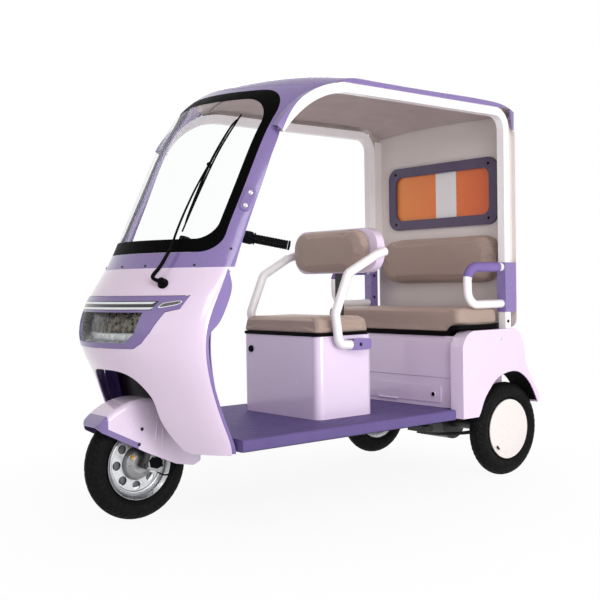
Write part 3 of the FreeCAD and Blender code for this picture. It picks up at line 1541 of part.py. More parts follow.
def build_all():
    left_x = "front_axle_x - wheelbase"
    tyre("front_tyre", "front_axle_x", "0")
    tyre("rear_tyre_left", left_x, "rear_wheel_y")
    tyre("rear_tyre_right", left_x, "0 - rear_wheel_y")
    rim_with_holes("front_rim", "front_axle_x", "0")
    rim_with_holes("rear_rim_left", left_x, "rear_wheel_y")
    rim_with_holes("rear_rim_right", left_x, "0 - rear_wheel_y")
    hub_cap("rear_hub_cap_left", left_x, "rear_wheel_y", 1)
    hub_cap("rear_hub_cap_right", left_x, "0 - rear_wheel_y", -1)
    feature("chassis_frame", chassis_frame())
    feature("battery_block", battery_block())
    feature("rear_axle", rear_axle())
    feature("leaf_springs", leaf_springs())
    gap = val("floor_joint") / 2
    feature("floor_front", floor_piece(val("floor_front"), val("floor_split") + gap, True))
    feature("floor_rear", floor_piece(val("floor_split") - gap, val("floor_rear"), False))
    feature("front_shield", front_shield())
    feature("inner_shield", inner_shield())
    feature("leg_shield", leg_shield())
    feature("headlamp_bezel", headlamp_bezel())
    feature("headlamp_lens", headlamp_lens())
    feature("headlamp_housing", headlamp_housing())
    feature("lamp_strips", lamp_strips())
    feature("cab_surround", cab_surround())
    feature("mirror_bosses", Part.makeCompound([mirror_boss(1), mirror_boss(-1)]))
    feature("windscreen", windscreen())
    feature("windscreen_seal", windscreen_seal())
    feature("windscreen_wiper", windscreen_wiper())
    feature("roof_shell", roof_shell())
    feature("roof_lining", roof_lining())
    rail = side_rail()
    feature("side_rail_left", rail)
    feature("side_rail_right", mirrored(rail))
    feature("rear_wall", rear_wall())
    feature("rear_window_frame", rear_window_frame())
    feature("rear_window_pane", rear_window_pane())
    feature("rear_seat_box", rear_seat_box())
    feature("battery_hatch", battery_hatch())
    feature("rear_seat_base", rear_seat_base())
    feature("rear_seat_cushion", rear_seat_cushion())
    feature("rear_backrest", rear_backrest())
    feature("rear_fender_left", rear_fender(1))
    feature("rear_fender_right", rear_fender(-1))
    feature("wheel_liner_left", wheel_liner(1))
    feature("wheel_liner_right", wheel_liner(-1))
    feature("grab_handle_left", grab_handle(1))
    feature("grab_handle_right", grab_handle(-1))
    feature("handle_bracket_left", handle_bracket(1))
    feature("handle_bracket_right", handle_bracket(-1))
    feature("tail_lamps", tail_lamps())
    feature("driver_seat_box", driver_seat_box())
    feature("driver_seat_base", driver_seat_base())
    feature("driver_seat_cushion", driver_seat_cushion())
    feature("driver_backrest", driver_backrest())
    feature("driver_backrest_shell", driver_backrest_shell())
    feature("driver_arm_left", driver_arm(1))
    feature("driver_arm_right", driver_arm(-1))
    feature("backrest_post", backrest_post())
    feature("steering_fork", steering_fork())
    feature("handlebar", handlebar())
    feature("grips", grips())
    feature("front_fender", front_fender())
    feature("front_caliper", front_caliper())


def export_all():
    doc.recompute()
    for item in doc.Objects:
        for word in ("Invalid", "Error"):
            if word in item.State:
                raise RuntimeError("%s is in state %s" % (item.Name, item.State))
    os.makedirs("parts", exist_ok=True)
    for item in nodes:
        shape = item.Shape
        if shape.isNull() or not shape.isValid() or not shape.Solids:
            raise RuntimeError("%s has no valid solid" % item.Label)
        shape.exportStep(os.path.join("parts", item.Label + ".step"))


build_all()
export_all()
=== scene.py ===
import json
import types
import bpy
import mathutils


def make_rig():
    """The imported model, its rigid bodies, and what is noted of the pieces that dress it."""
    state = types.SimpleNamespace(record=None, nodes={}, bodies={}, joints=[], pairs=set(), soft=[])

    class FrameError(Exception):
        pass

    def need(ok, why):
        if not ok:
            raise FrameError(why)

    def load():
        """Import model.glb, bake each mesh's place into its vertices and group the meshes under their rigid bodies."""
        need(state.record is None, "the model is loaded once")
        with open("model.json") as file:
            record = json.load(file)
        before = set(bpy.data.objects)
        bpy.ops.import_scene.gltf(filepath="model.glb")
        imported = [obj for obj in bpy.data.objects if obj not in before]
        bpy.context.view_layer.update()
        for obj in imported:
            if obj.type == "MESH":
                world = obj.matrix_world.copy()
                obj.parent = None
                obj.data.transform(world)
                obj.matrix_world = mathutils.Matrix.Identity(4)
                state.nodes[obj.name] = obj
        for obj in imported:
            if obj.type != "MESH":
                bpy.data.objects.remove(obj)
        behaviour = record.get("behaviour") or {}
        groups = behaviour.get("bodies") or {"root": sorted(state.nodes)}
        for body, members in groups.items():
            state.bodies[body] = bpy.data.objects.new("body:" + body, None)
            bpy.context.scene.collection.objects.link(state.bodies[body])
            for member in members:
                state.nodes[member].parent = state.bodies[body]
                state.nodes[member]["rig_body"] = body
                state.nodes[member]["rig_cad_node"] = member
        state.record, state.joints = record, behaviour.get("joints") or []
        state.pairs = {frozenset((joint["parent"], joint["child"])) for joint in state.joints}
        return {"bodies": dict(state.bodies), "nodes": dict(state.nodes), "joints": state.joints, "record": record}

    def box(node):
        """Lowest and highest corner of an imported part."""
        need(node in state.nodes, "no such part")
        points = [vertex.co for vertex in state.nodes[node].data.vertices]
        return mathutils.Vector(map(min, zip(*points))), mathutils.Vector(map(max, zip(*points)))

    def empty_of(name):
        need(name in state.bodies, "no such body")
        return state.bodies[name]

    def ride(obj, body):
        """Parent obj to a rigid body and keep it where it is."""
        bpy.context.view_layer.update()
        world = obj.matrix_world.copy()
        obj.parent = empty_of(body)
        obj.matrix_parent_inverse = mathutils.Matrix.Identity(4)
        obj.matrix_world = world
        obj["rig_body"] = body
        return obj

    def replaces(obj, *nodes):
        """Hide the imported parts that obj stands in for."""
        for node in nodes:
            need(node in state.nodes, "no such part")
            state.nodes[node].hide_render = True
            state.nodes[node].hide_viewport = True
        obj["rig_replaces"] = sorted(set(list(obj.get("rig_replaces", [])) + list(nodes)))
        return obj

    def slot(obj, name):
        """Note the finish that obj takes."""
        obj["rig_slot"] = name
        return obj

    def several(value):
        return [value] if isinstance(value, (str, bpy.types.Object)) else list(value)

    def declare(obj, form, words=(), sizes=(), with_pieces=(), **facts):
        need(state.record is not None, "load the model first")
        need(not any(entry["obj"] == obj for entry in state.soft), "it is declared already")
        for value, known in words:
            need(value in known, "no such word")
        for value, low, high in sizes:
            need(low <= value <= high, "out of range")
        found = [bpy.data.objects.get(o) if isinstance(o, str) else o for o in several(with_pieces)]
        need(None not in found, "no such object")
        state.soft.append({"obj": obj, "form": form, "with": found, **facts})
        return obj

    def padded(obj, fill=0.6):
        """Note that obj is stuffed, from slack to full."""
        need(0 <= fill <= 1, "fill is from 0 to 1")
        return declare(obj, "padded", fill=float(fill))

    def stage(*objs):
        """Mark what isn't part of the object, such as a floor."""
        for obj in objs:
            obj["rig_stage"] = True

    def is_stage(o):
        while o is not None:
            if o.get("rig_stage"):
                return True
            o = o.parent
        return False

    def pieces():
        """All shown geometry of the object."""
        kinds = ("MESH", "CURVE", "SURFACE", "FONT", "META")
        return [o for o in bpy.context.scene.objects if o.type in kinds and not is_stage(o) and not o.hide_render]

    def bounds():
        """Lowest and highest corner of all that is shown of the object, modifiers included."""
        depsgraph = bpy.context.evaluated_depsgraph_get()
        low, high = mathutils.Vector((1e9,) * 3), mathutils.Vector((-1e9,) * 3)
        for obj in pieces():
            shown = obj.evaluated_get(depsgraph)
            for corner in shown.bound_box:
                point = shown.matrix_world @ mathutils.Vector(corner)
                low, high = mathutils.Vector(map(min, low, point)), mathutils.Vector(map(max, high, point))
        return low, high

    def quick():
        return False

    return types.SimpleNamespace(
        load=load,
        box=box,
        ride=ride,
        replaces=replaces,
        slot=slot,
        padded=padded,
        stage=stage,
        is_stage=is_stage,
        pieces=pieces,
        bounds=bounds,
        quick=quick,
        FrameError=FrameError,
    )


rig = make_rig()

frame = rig.load()        # bodies, nodes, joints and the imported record

import json
import math

import bmesh
import bpy
from mathutils import Matrix, Vector
from mathutils.bvhtree import BVHTree

# Looks of the electric passenger tricycle. Metres: X forward, Y left, Z up.

CAD_LOW, CAD_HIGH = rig.bounds()
NODES = frame["nodes"]
SCENE = bpy.context.scene
SIZE_FILE = "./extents.json"
MM = 0.001
SIDES = ((1, "left"), (-1, "right"))

AHEAD = Vector((1, 0, 0))
LEFT = Vector((0, 1, 0))
IN_FRONT = 2.0  # X of a place before the whole vehicle
BESIDE = 1.0  # Y of a place beside the whole vehicle

FRONT_AXLE = Vector((0.819, 0.0, 0.2075))
REAR_AXLE_X = -0.821
REAR_WHEEL_Y = 0.415
TYRE_RADIUS = 0.2075
TYRE_SECTION = 0.040
BEAD_RADIUS = 0.1315
WHEELS = {"front": FRONT_AXLE}
for hand, word in SIDES:
    WHEELS[f"rear_{word}"] = Vector((REAR_AXLE_X, hand * REAR_WHEEL_Y, TYRE_RADIUS))


# Colours

def srgb(red, green, blue):
    """A colour written as 0 to 255 in linear light."""
    def linear(value):
        share = value / 255
        if share <= 0.04045:
            return share / 12.92
        return ((share + 0.055) / 1.055) ** 2.4
    return (linear(red), linear(green), linear(blue), 1.0)


def shade(colour, factor):
    return tuple(min(part * factor, 1.0) for part in colour[:3]) + (1.0,)


LILAC = srgb(230, 214, 238)
VIOLET = srgb(128, 110, 170)
# painted shade for the leg shield's faces in the front wheel's space
WELL_SHADE_VIOLET = srgb(20, 12, 24)
WHITE = srgb(243, 242, 244)
CEILING = srgb(186, 174, 171)
BED = srgb(22, 20, 26)
# painted light: lit and shaded orange of the rear window film
FILM_PAINTED_LIT = srgb(252, 152, 62)
FILM_PAINTED_SHADED = srgb(232, 100, 30)
# painted reflections in the headlamp bowl: dark above, pale below
LAMP_DARK_REFLECTION = (srgb(34, 30, 28), srgb(120, 112, 96))
LAMP_PALE_REFLECTION = (srgb(214, 213, 208), srgb(176, 175, 170))


# Materials

class Shader:
    """A procedural material on the object's own coordinates."""

    def __init__(self, name):
        self.material = bpy.data.materials.new(name)
        self.material.use_nodes = True
        self.tree = self.material.node_tree
        self.principled = self.tree.nodes["Principled BSDF"]
        self.place = self.add("ShaderNodeTexCoord").outputs["Object"]

    def add(self, kind, **settings):
        node = self.tree.nodes.new(kind)
        for key, value in settings.items():
            setattr(node, key, value)
        return node

    def link(self, source, target):
        self.tree.links.new(source, target)

    def set(self, **values):
        for key, value in values.items():
            self.principled.inputs[key.replace("_", " ")].default_value = value

    def noise(self, scale, detail=3.0):
        node = self.add("ShaderNodeTexNoise")
        node.inputs["Scale"].default_value = scale
        node.inputs["Detail"].default_value = detail
        self.link(self.place, node.inputs["Vector"])
        return node.outputs["Fac"]

    def cells(self, scale, feature="F1"):
        node = self.add("ShaderNodeTexVoronoi", feature=feature)
        node.inputs["Scale"].default_value = scale
        self.link(self.place, node.inputs["Vector"])
        return node.outputs["Distance"]

    def span(self, value, low, high, to_low, to_high, kind="LINEAR"):
        node = self.add("ShaderNodeMapRange", interpolation_type=kind)
        for key, number in zip(("From Min", "From Max", "To Min", "To Max"), (low, high, to_low, to_high)):
            node.inputs[key].default_value = number
        self.link(value, node.inputs["Value"])
        return node.outputs["Result"]

    def mix(self, share, first, second):
        node = self.add("ShaderNodeMix", data_type="RGBA")
        self.link(share, node.inputs[0])
        for value, socket in ((first, node.inputs[6]), (second, node.inputs[7])):
            if isinstance(value, tuple):
                socket.default_value = value
            else:
                self.link(value, socket)
        return node.outputs[2]

    def above(self, value, level, soft=0.0004):
        """1 where the value is over the level, else 0."""
        return self.span(value, level - soft, level + soft, 0.0, 1.0)

    def below(self, value, level, soft=0.0004):
        """1 where the value is under the level, else 0."""
        return self.math("SUBTRACT", 1.0, self.above(value, level, soft))

    def both(self, first, second):
        return self.math("MULTIPLY", first, second)

    def waves(self, name, pitch):
        """A sine along an axis."""
        return self.math("SINE", self.math("MULTIPLY", self.axis(name), math.tau / pitch), 0.0)

    def worn(self, rough, low, high, scale, detail=3.0):
        """Roughness that drifts between two multiples of its value."""
        gloss = self.noise(scale, detail)
        self.link(self.span(gloss, 0.3, 0.7, rough * low, rough * high), self.principled.inputs["Roughness"])

    def math(self, operation, first, second):
        node = self.add("ShaderNodeMath", operation=operation)
        for value, socket in ((first, node.inputs[0]), (second, node.inputs[1])):
            if isinstance(value, (int, float)):
                socket.default_value = value
            else:
                self.link(value, socket)
        return node.outputs[0]

    def axis(self, name):
        node = self.add("ShaderNodeSeparateXYZ")
        self.link(self.place, node.inputs[0])
        return node.outputs[name]

    def facing(self, name):
        """The part of the surface normal along an axis."""
        node = self.add("ShaderNodeSeparateXYZ")
        self.link(self.add("ShaderNodeTexCoord").outputs["Normal"], node.inputs[0])
        return node.outputs[name]

    def colour(self, value):
        self.link(value, self.principled.inputs["Base Color"])

    def bump(self, height, strength, distance=MM):
        node = self.add("ShaderNodeBump")
        node.inputs["Strength"].default_value = strength
        node.inputs["Distance"].default_value = distance
        self.link(height, node.inputs["Height"])
        self.link(node.outputs["Normal"], self.principled.inputs["Normal"])


def painted(name, colour, rough, coat, mottle=0.04, depth=0.06, second=None, mask=None):
    """Moulded or painted surface: slight colour drift, uneven gloss and fine orange peel.

    With a mask the second colour lies where mask(shader) gives 1.
    """
    shader = Shader(name)
    shader.set(Coat_Weight=coat, Coat_Roughness=0.08)
    drift = shader.noise(3.5, detail=4.0)
    tone = shader.mix(drift, shade(colour, 1 - mottle), shade(colour, 1 + mottle))
    if mask:
        other = shader.mix(drift, shade(second, 1 - mottle), shade(second, 1 + mottle))
        tone = shader.mix(mask(shader), tone, other)
    shader.colour(tone)
    shader.worn(rough, 0.8, 1.25, 14.0, detail=5.0)
    shader.bump(shader.noise(900.0, detail=2.0), depth)
    return shader.material


def textured(name, colour, rough, grain=1400.0, depth=0.35):
    """Grained plastic or rubber without a coat."""
    shader = Shader(name)
    shader.set(Specular_IOR_Level=0.03)
    shader.colour(shader.mix(shader.noise(9.0, detail=5.0), shade(colour, 0.86), shade(colour, 1.16)))
    shader.worn(rough, 0.88, 1.12, 40.0)
    shader.bump(shader.cells(grain), depth)
    return shader.material


# Borders between two colours on one moulding, read from the photograph
ARM_FOOT = (-0.0212, 0.6415)  # X of its front end and Z of its top
GUARD_LINE = (0.2581, 0.5055)  # Z of the mudguard's edge at the axle and its slope
GUARD_STRIP = (0.023, 0.030)  # height of the strip and its start ahead of the axle
GUARD_NOSE = 0.152  # start of the nose ahead of the axle
RAIL_BEND = (FRONT_AXLE.x - 0.720, 1.210, 0.3855)  # X, Z and radius of the rail's covered line
RAIL_SWELL = (22, 56, 0.040)  # degrees between which the cover leaves the rail, and how far
WELL_SIDE = 0.285
STRIP_LEVELS = (0.7842, 0.8168)
STRIP_END = 0.2545


def arm_foot(shader):
    """The cast foot at the lower end of the driver's armrest tube."""
    front, top = ARM_FOOT
    return shader.both(shader.below(shader.axis("Z"), top), shader.below(shader.axis("X"), front))


def guard_trim(shader):
    """Nose and lower front edge of the front mudguard."""
    ahead = shader.axis("X")
    height, slope = GUARD_LINE
    strip, start = GUARD_STRIP
    line = shader.math("ADD", shader.math("MULTIPLY", ahead, slope), height - slope * FRONT_AXLE.x)
    under = shader.below(shader.math("SUBTRACT", shader.axis("Z"), line), strip)
    edge = shader.both(under, shader.above(ahead, FRONT_AXLE.x + start))
    return shader.math("MAXIMUM", edge, shader.above(ahead, FRONT_AXLE.x + GUARD_NOSE))


def rail_cover(shader):
    """The outer part of a side rail's front sweep, which the pillar's moulding covers."""
    middle_x, middle_z, radius = RAIL_BEND
    first, last, swell = RAIL_SWELL
    ahead = shader.math("SUBTRACT", shader.axis("X"), middle_x)
    up = shader.math("SUBTRACT", shader.axis("Z"), middle_z)
    square = shader.math("ADD", shader.both(ahead, ahead), shader.both(up, up))
    outside = shader.math("SUBTRACT", shader.math("POWER", square, 0.5), radius)
    turn = shader.math("ARCTAN2", up, ahead)
    ease = shader.span(turn, math.radians(first), math.radians(last), 0.0, swell, kind="SMOOTHSTEP")
    over = shader.above(shader.math("SUBTRACT", outside, ease), 0.0, 0.0006)
    return shader.both(over, shader.above(ahead, 0.10))


def painted_well_shade(shader):
    """Faces that look ahead, into the front wheel's space, which take painted shade."""
    side = shader.math("ABSOLUTE", shader.axis("Y"), 0.0)
    return shader.both(shader.above(shader.facing("X"), 0.05, 0.02), shader.below(side, WELL_SIDE))


def strip_bed(shader):
    """The dark bed round the chrome strips of the headlamp surround."""
    height = shader.axis("Z")
    low, high = STRIP_LEVELS
    band = shader.both(shader.above(height, low), shader.below(height, high))
    side = shader.math("ABSOLUTE", shader.axis("Y"), 0.0)
    lean = shader.math("MULTIPLY", shader.math("SUBTRACT", 0.80, height), 0.5)
    return shader.both(band, shader.below(shader.math("ADD", side, lean), STRIP_END))


def roof_inside(shader):
    """Faces of the roof shell that look down or towards its middle."""
    inward = shader.both(shader.axis("Y"), shader.facing("Y"))
    down = shader.below(shader.facing("Z"), -0.35, 0.05)
    return shader.math("MAXIMUM", down, shader.below(inward, -0.12, 0.03))


def reflector(name):
    """Bowl of the headlamp: a mirror with a painted dark reflection above and a painted pale reflection on the fluted
    band below.
    """
    shader = Shader(name)
    shader.set(Metallic=0.85)
    reflection_mottle = shader.noise(55.0, detail=3.0)
    dark = shader.mix(shader.span(reflection_mottle, 0.4, 0.62, 0.0, 1.0), *LAMP_DARK_REFLECTION)
    pale = shader.mix(shader.span(reflection_mottle, 0.3, 0.7, 0.0, 1.0), *LAMP_PALE_REFLECTION)
    # painted reflection: dark above the level, pale below it
    shader.colour(shader.mix(shader.above(shader.axis("Z"), 0.700, 0.004), pale, dark))
    shader.worn(1.0, 0.22, 0.4, 55.0)
    shader.bump(shader.waves("Y", 0.013), 0.35)
    return shader.material


def leather(name, colour):
    """Soft artificial leather: pebble grain, slow creases, light sheen and painted light that makes the tops lighter.
    """
    shader = Shader(name)
    shader.set(Sheen_Weight=0.12, Sheen_Roughness=0.45, Specular_IOR_Level=0.35)
    wear = shader.noise(7.0, detail=6.0)
    plain = shader.mix(wear, shade(colour, 0.93), shade(colour, 1.06))
    # painted light: faces that look up take a lighter colour, as if lit from above
    painted_lit_tops = shader.mix(wear, shade(colour, 1.3), shade(colour, 1.42))
    shader.colour(shader.mix(shader.span(shader.facing("Z"), 0.35, 0.95, 0.0, 1.0), plain, painted_lit_tops))
    shader.worn(1.0, 0.5, 0.66, 60.0)
    pebbles = shader.cells(620.0, feature="SMOOTH_F1")
    creases = shader.math("MULTIPLY", shader.noise(46.0, detail=5.0), 0.5)
    shader.bump(shader.math("ADD", pebbles, creases), 0.35)
    return shader.material


def metal(name, colour, rough, brushed=0.15):
    """Bare or plated metal with fine scratches."""
    shader = Shader(name)
    shader.set(Metallic=1.0)
    shader.colour(shader.mix(shader.noise(22.0, detail=5.0), shade(colour, 0.9), shade(colour, 1.05)))
    shader.worn(rough, 0.7, 1.4, 90.0)
    shader.bump(shader.noise(700.0), brushed)
    return shader.material


def glass(name, tint, rough):
    """Thin clear sheet that does not bend the view."""
    shader = Shader(name)
    shader.set(Transmission_Weight=1.0, IOR=1.0, Base_Color=tint, Coat_Weight=0.2, Coat_Roughness=0.05)
    shader.worn(rough, 0.5, 1.5, 30.0)
    shader.bump(shader.noise(3.0), 0.002)
    return shader.material


def rubber_tyre(name):
    """Tyre rubber: matt black with a dusty crown and finer sidewall grain."""
    shader = Shader(name)
    shader.set(Specular_IOR_Level=0.12)
    dust = shader.span(shader.noise(30.0, detail=6.0), 0.45, 0.75, 0.0, 1.0)
    shader.colour(shader.mix(dust, srgb(8, 8, 9), srgb(17, 16, 17)))
    shader.worn(1.0, 0.55, 0.8, 80.0)
    shader.bump(shader.noise(1200.0), 0.25)
    return shader.material


STRIPE = (-0.040, 0.090)     # Y of the pale stripe's edges on the rear window


def striped_film(name):
    """Orange window film with a plain pale band down its middle and painted light from lit to shaded orange across it.
    """
    shader = Shader(name)
    shader.set(Transmission_Weight=0.15, Roughness=0.3, Coat_Weight=0.3)
    across_window = shader.axis("Y")
    left_of = shader.span(across_window, STRIPE[1] - MM, STRIPE[1] + MM, 1.0, 0.0)
    right_of = shader.span(across_window, STRIPE[0] - MM, STRIPE[0] + MM, 0.0, 1.0)
    wave = shader.math("MULTIPLY", shader.noise(9.0, detail=2.0), 0.12)
    # painted light: the film goes from lit to shaded orange across the window
    light = shader.math("ADD", shader.span(across_window, -0.3, 0.3, 0.0, 1.0), wave)
    shader.colour(shader.mix(shader.both(left_of, right_of), shader.mix(light, FILM_PAINTED_LIT, FILM_PAINTED_SHADED), WHITE))
    shader.bump(shader.noise(60.0), 0.05)
    return shader.material


def ribbed_lens(name, colour, pitch):
    """Coloured lamp cover with fine upright flutes on its inner face."""
    shader = Shader(name)
    shader.set(Transmission_Weight=0.35, Coat_Weight=0.8)
    shader.colour(shader.mix(shader.noise(18.0), shade(colour, 0.8), shade(colour, 1.2)))
    shader.worn(0.12, 0.7, 1.3, 50.0)
    shader.bump(shader.waves("Y", pitch), 0.4)
    return shader.material


MATERIALS = {
    "lilac": painted("lilac_gloss", LILAC, rough=0.22, coat=0.7),
    "violet": painted("violet_gloss", VIOLET, rough=0.26, coat=0.55, mottle=0.05),
    "roof": painted("roof_violet", VIOLET, rough=0.3, coat=0.4, second=CEILING, mask=roof_inside),
    "arm": painted("white_arm", WHITE, rough=0.32, coat=0.3, second=VIOLET, mask=arm_foot),
    "guard": painted("front_guard", LILAC, rough=0.24, coat=0.6, second=shade(VIOLET, 0.92), mask=guard_trim),
    "window_frame": painted("window_frame_violet", srgb(74, 60, 92), rough=0.4, coat=0.2),
    "reflector": reflector("lamp_reflector"),
    "rail": painted("white_rail", WHITE, rough=0.32, coat=0.3, second=VIOLET, mask=rail_cover),
    # the leg shield's faces towards the front wheel take painted shade
    "leg_shield": painted("leg_shield_violet", VIOLET, rough=0.45, coat=0.1, second=WELL_SHADE_VIOLET,
                          mask=painted_well_shade),
    "bezel": painted("bezel_violet", shade(VIOLET, 0.9), rough=0.3, coat=0.5, second=BED, mask=strip_bed),
    "violet_satin": textured("violet_satin", VIOLET, rough=0.45, depth=0.2),
    "violet_floor": textured("violet_floor", srgb(104, 92, 142), rough=0.5, grain=900.0, depth=0.4),
    "white": painted("white_powder_coat", WHITE, rough=0.32, coat=0.3, depth=0.12),
    "white_wall": painted("white_wall", srgb(226, 219, 216), rough=0.4, coat=0.2, depth=0.1),
    "cap": painted("hub_cap_white", srgb(232, 229, 226), rough=0.3, coat=0.4),
    "black": textured("black_plastic", srgb(10, 9, 11), rough=0.42, depth=0.18),
    "black_border": textured("black_border", srgb(3, 3, 4), rough=0.5, depth=0.05),
    "steel": painted("black_steel", srgb(22, 21, 23), rough=0.45, coat=0.1, depth=0.2),
    "liner": textured("black_liner", srgb(14, 13, 15), rough=0.7, depth=0.5),
    "leather": leather("taupe_leather", srgb(166, 147, 137)),
    "ceiling": textured("ceiling_felt", CEILING, rough=0.85, grain=2200.0, depth=0.5),
    "tyre": rubber_tyre("tyre_rubber"),
    "rim": metal("rim_silver", srgb(196, 197, 200), rough=0.34),
    "chrome": metal("chrome_trim", srgb(222, 224, 228), rough=0.09, brushed=0.02),
    "alloy": metal("cast_alloy", srgb(150, 150, 152), rough=0.42, brushed=0.35),
    # grey backing behind the front rim: painted shade seen through the rim's holes
    "hole_shade_alloy": metal("front_hole_shade_alloy", srgb(104, 104, 106), rough=0.5, brushed=0.3),
    "brass": metal("brass_fitting", srgb(196, 160, 84), rough=0.3),
    "bolt": metal("dark_bolt", srgb(58, 54, 62), rough=0.3),
    "smoke": painted("smoked_lens", srgb(70, 62, 66), rough=0.1, coat=1.0, mottle=0.3),
    "glass": glass("clear_windscreen", srgb(252, 253, 253), rough=0.0),
    "lens": glass("clear_lens", srgb(244, 247, 250), rough=0.03),
    "film": striped_film("orange_window_film"),
    "red": ribbed_lens("red_tail_lens", srgb(168, 20, 24), 0.006),
    "battery": textured("battery_case", srgb(48, 50, 56), rough=0.6),
    "rubber": textured("soft_rubber", srgb(20, 19, 21), rough=0.65, depth=0.4),
}

FINISHED_NODES = {
    "tyre": "front_tyre rear_tyre_left rear_tyre_right",
    "rim": "front_rim rear_rim_left rear_rim_right",
    "cap": "rear_hub_cap_left rear_hub_cap_right",
    "steel": "chassis_frame rear_axle leaf_springs backrest_post steering_fork handlebar",
    "battery": "battery_block",
    "violet_floor": "floor_front floor_rear",
    "lilac": "front_shield rear_seat_box battery_hatch rear_fender_left rear_fender_right driver_seat_box"
             " driver_backrest_shell",
    "leg_shield": "inner_shield leg_shield",
    "bezel": "headlamp_bezel",
    "lens": "headlamp_lens",
    "reflector": "headlamp_housing",
    "chrome": "lamp_strips",
    "violet": "cab_surround mirror_bosses handle_bracket_left handle_bracket_right",
    "glass": "windscreen",
    "black_border": "windscreen_seal",
    "black": "windscreen_wiper rear_seat_base driver_seat_base",
    "roof": "roof_shell",
    "ceiling": "roof_lining",
    "rail": "side_rail_left side_rail_right",
    "white_wall": "rear_wall",
    "window_frame": "rear_window_frame",
    "film": "rear_window_pane",
    "leather": "rear_seat_cushion rear_backrest driver_seat_cushion driver_backrest",
    "liner": "wheel_liner_left wheel_liner_right",
    "white": "grab_handle_left grab_handle_right",
    "red": "tail_lamps",
    "arm": "driver_arm_left driver_arm_right",
    "rubber": "grips",
    "guard": "front_fender",
    "alloy": "front_caliper",
}


def dress_nodes():
    """Gives every CAD node its material."""
    finish_of = {node: finish for finish, nodes in FINISHED_NODES.items() for node in nodes.split()}
    for name, node in NODES.items():
        node.data.materials.clear()
        node.data.materials.append(MATERIALS[finish_of[name]])


# Building blocks

def mesh_from(name, bm):
    bmesh.ops.recalc_face_normals(bm, faces=bm.faces)
    mesh = bpy.data.meshes.new(name)
    bm.to_mesh(mesh)
    bm.free()
    return mesh


def add_piece(name, bm, finish, body, slot, sharp=35.0):
    """Makes a new piece that rides on a body and takes a material slot."""
    mesh = mesh_from(name, bm)
    piece = bpy.data.objects.new(name, mesh)
    SCENE.collection.objects.link(piece)
    mesh.materials.append(MATERIALS[finish])
    for face in mesh.polygons:
        face.use_smooth = True
    mesh.set_sharp_from_angle(angle=math.radians(sharp))
    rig.ride(piece, body)
    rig.slot(piece, slot)
    return piece


def across(normal):
    """Two directions at right angles to a normal."""
    normal = Vector(normal).normalized()
    helper = Vector((0, 0, 1)) if abs(normal.z) < 0.9 else Vector((1, 0, 0))
    side = helper.cross(normal).normalized()
    return side, normal.cross(side), normal


def lathe(bm, profile, centre, axis, segments=32):
    """Turns a profile of (radius, height) points about an axis."""
    side, up, along = across(axis)
    centre = Vector(centre)
    rings = []
    for radius, height in profile:
        if radius < 1e-6:
            rings.append([bm.verts.new(centre + along * height)])
            continue
        ring = []
        for step in range(segments):
            angle = math.tau * step / segments
            spoke = side * math.cos(angle) + up * math.sin(angle)
            ring.append(bm.verts.new(centre + spoke * radius + along * height))
        rings.append(ring)
    for first, second in zip(rings, rings[1:]):
        for step in range(segments):
            corners = [ring[(step + turn) % len(ring)] for ring, turn in
                       ((first, 0), (first, 1), (second, 1), (second, 0))]
            face = list(dict.fromkeys(corners))
            if len(face) > 2:
                bm.faces.new(face)


def turned(bm, profile, centre, axis, segments=32):
    """The same with the profile in millimetres."""
    lathe(bm, [(radius * MM, height * MM) for radius, height in profile], centre, axis, segments)


def loft(bm, rings, closed=False, capped=True):
    """Joins rings of points, each a closed loop with the same number of points."""
    made = [[bm.verts.new(point) for point in ring] for ring in rings]
    count = len(made[0])
    pairs = list(zip(made, made[1:]))
    if closed:
        pairs.append((made[-1], made[0]))
    for first, second in pairs:
        for step in range(count):
            after = (step + 1) % count
            bm.faces.new((first[step], first[after], second[after], second[step]))
    if capped and not closed:
        bm.faces.new(made[0])
        bm.faces.new(made[-1])


def smooth_line(points, steps=8, closed=False):
    """A curve through the points, evenly stepped between them."""
    points = [Vector(point) for point in points]
    count = len(points)
    spans = count if closed else count - 1
    line = []
    for index in range(spans):
        if closed:
            around = [points[(index + offset) % count] for offset in (-1, 0, 1, 2)]
        else:
            around = [points[min(max(index + offset, 0), count - 1)] for offset in (-1, 0, 1, 2)]
        before, start, end, after = around
        for step in range(steps):
            t = step / steps
            line.append(0.5 * (2 * start + (end - before) * t
                               + (2 * before - 5 * start + 4 * end - after) * t ** 2
                               + (3 * start - before - 3 * end + after) * t ** 3))
    if not closed:
        line.append(points[-1])
    return line


def sweep(bm, line, radius, sides=14, closed=False, flat=1.0, lead=None):
    """A round or flattened tube along a line. radius is a number or a function of the share run."""
    count = len(line)
    rings = []
    if lead is None:
        lead = Vector((0, 1, 0.01))
    for index, point in enumerate(line):
        before = line[index - 1] if index or closed else point
        after = line[(index + 1) % count] if index < count - 1 or closed else point
        tangent = (after - before).normalized()
        side = (lead - tangent * lead.dot(tangent)).normalized()
        lead = side
        up = tangent.cross(side)
        size = radius(index / max(count - 1, 1)) if callable(radius) else radius
        ring = []
        for step in range(sides):
            angle = math.tau * step / sides
            ring.append(point + side * math.cos(angle) * size + up * math.sin(angle) * size * flat)
        rings.append(ring)
    loft(bm, rings, closed=closed)


def tube_piece(name, points, radius, finish, body, slot, sides=14, flat=1.0):
    bm = bmesh.new()
    sweep(bm, smooth_line(points), radius, sides, flat=flat)
    return add_piece(name, bm, finish, body, slot)


TREES = {}


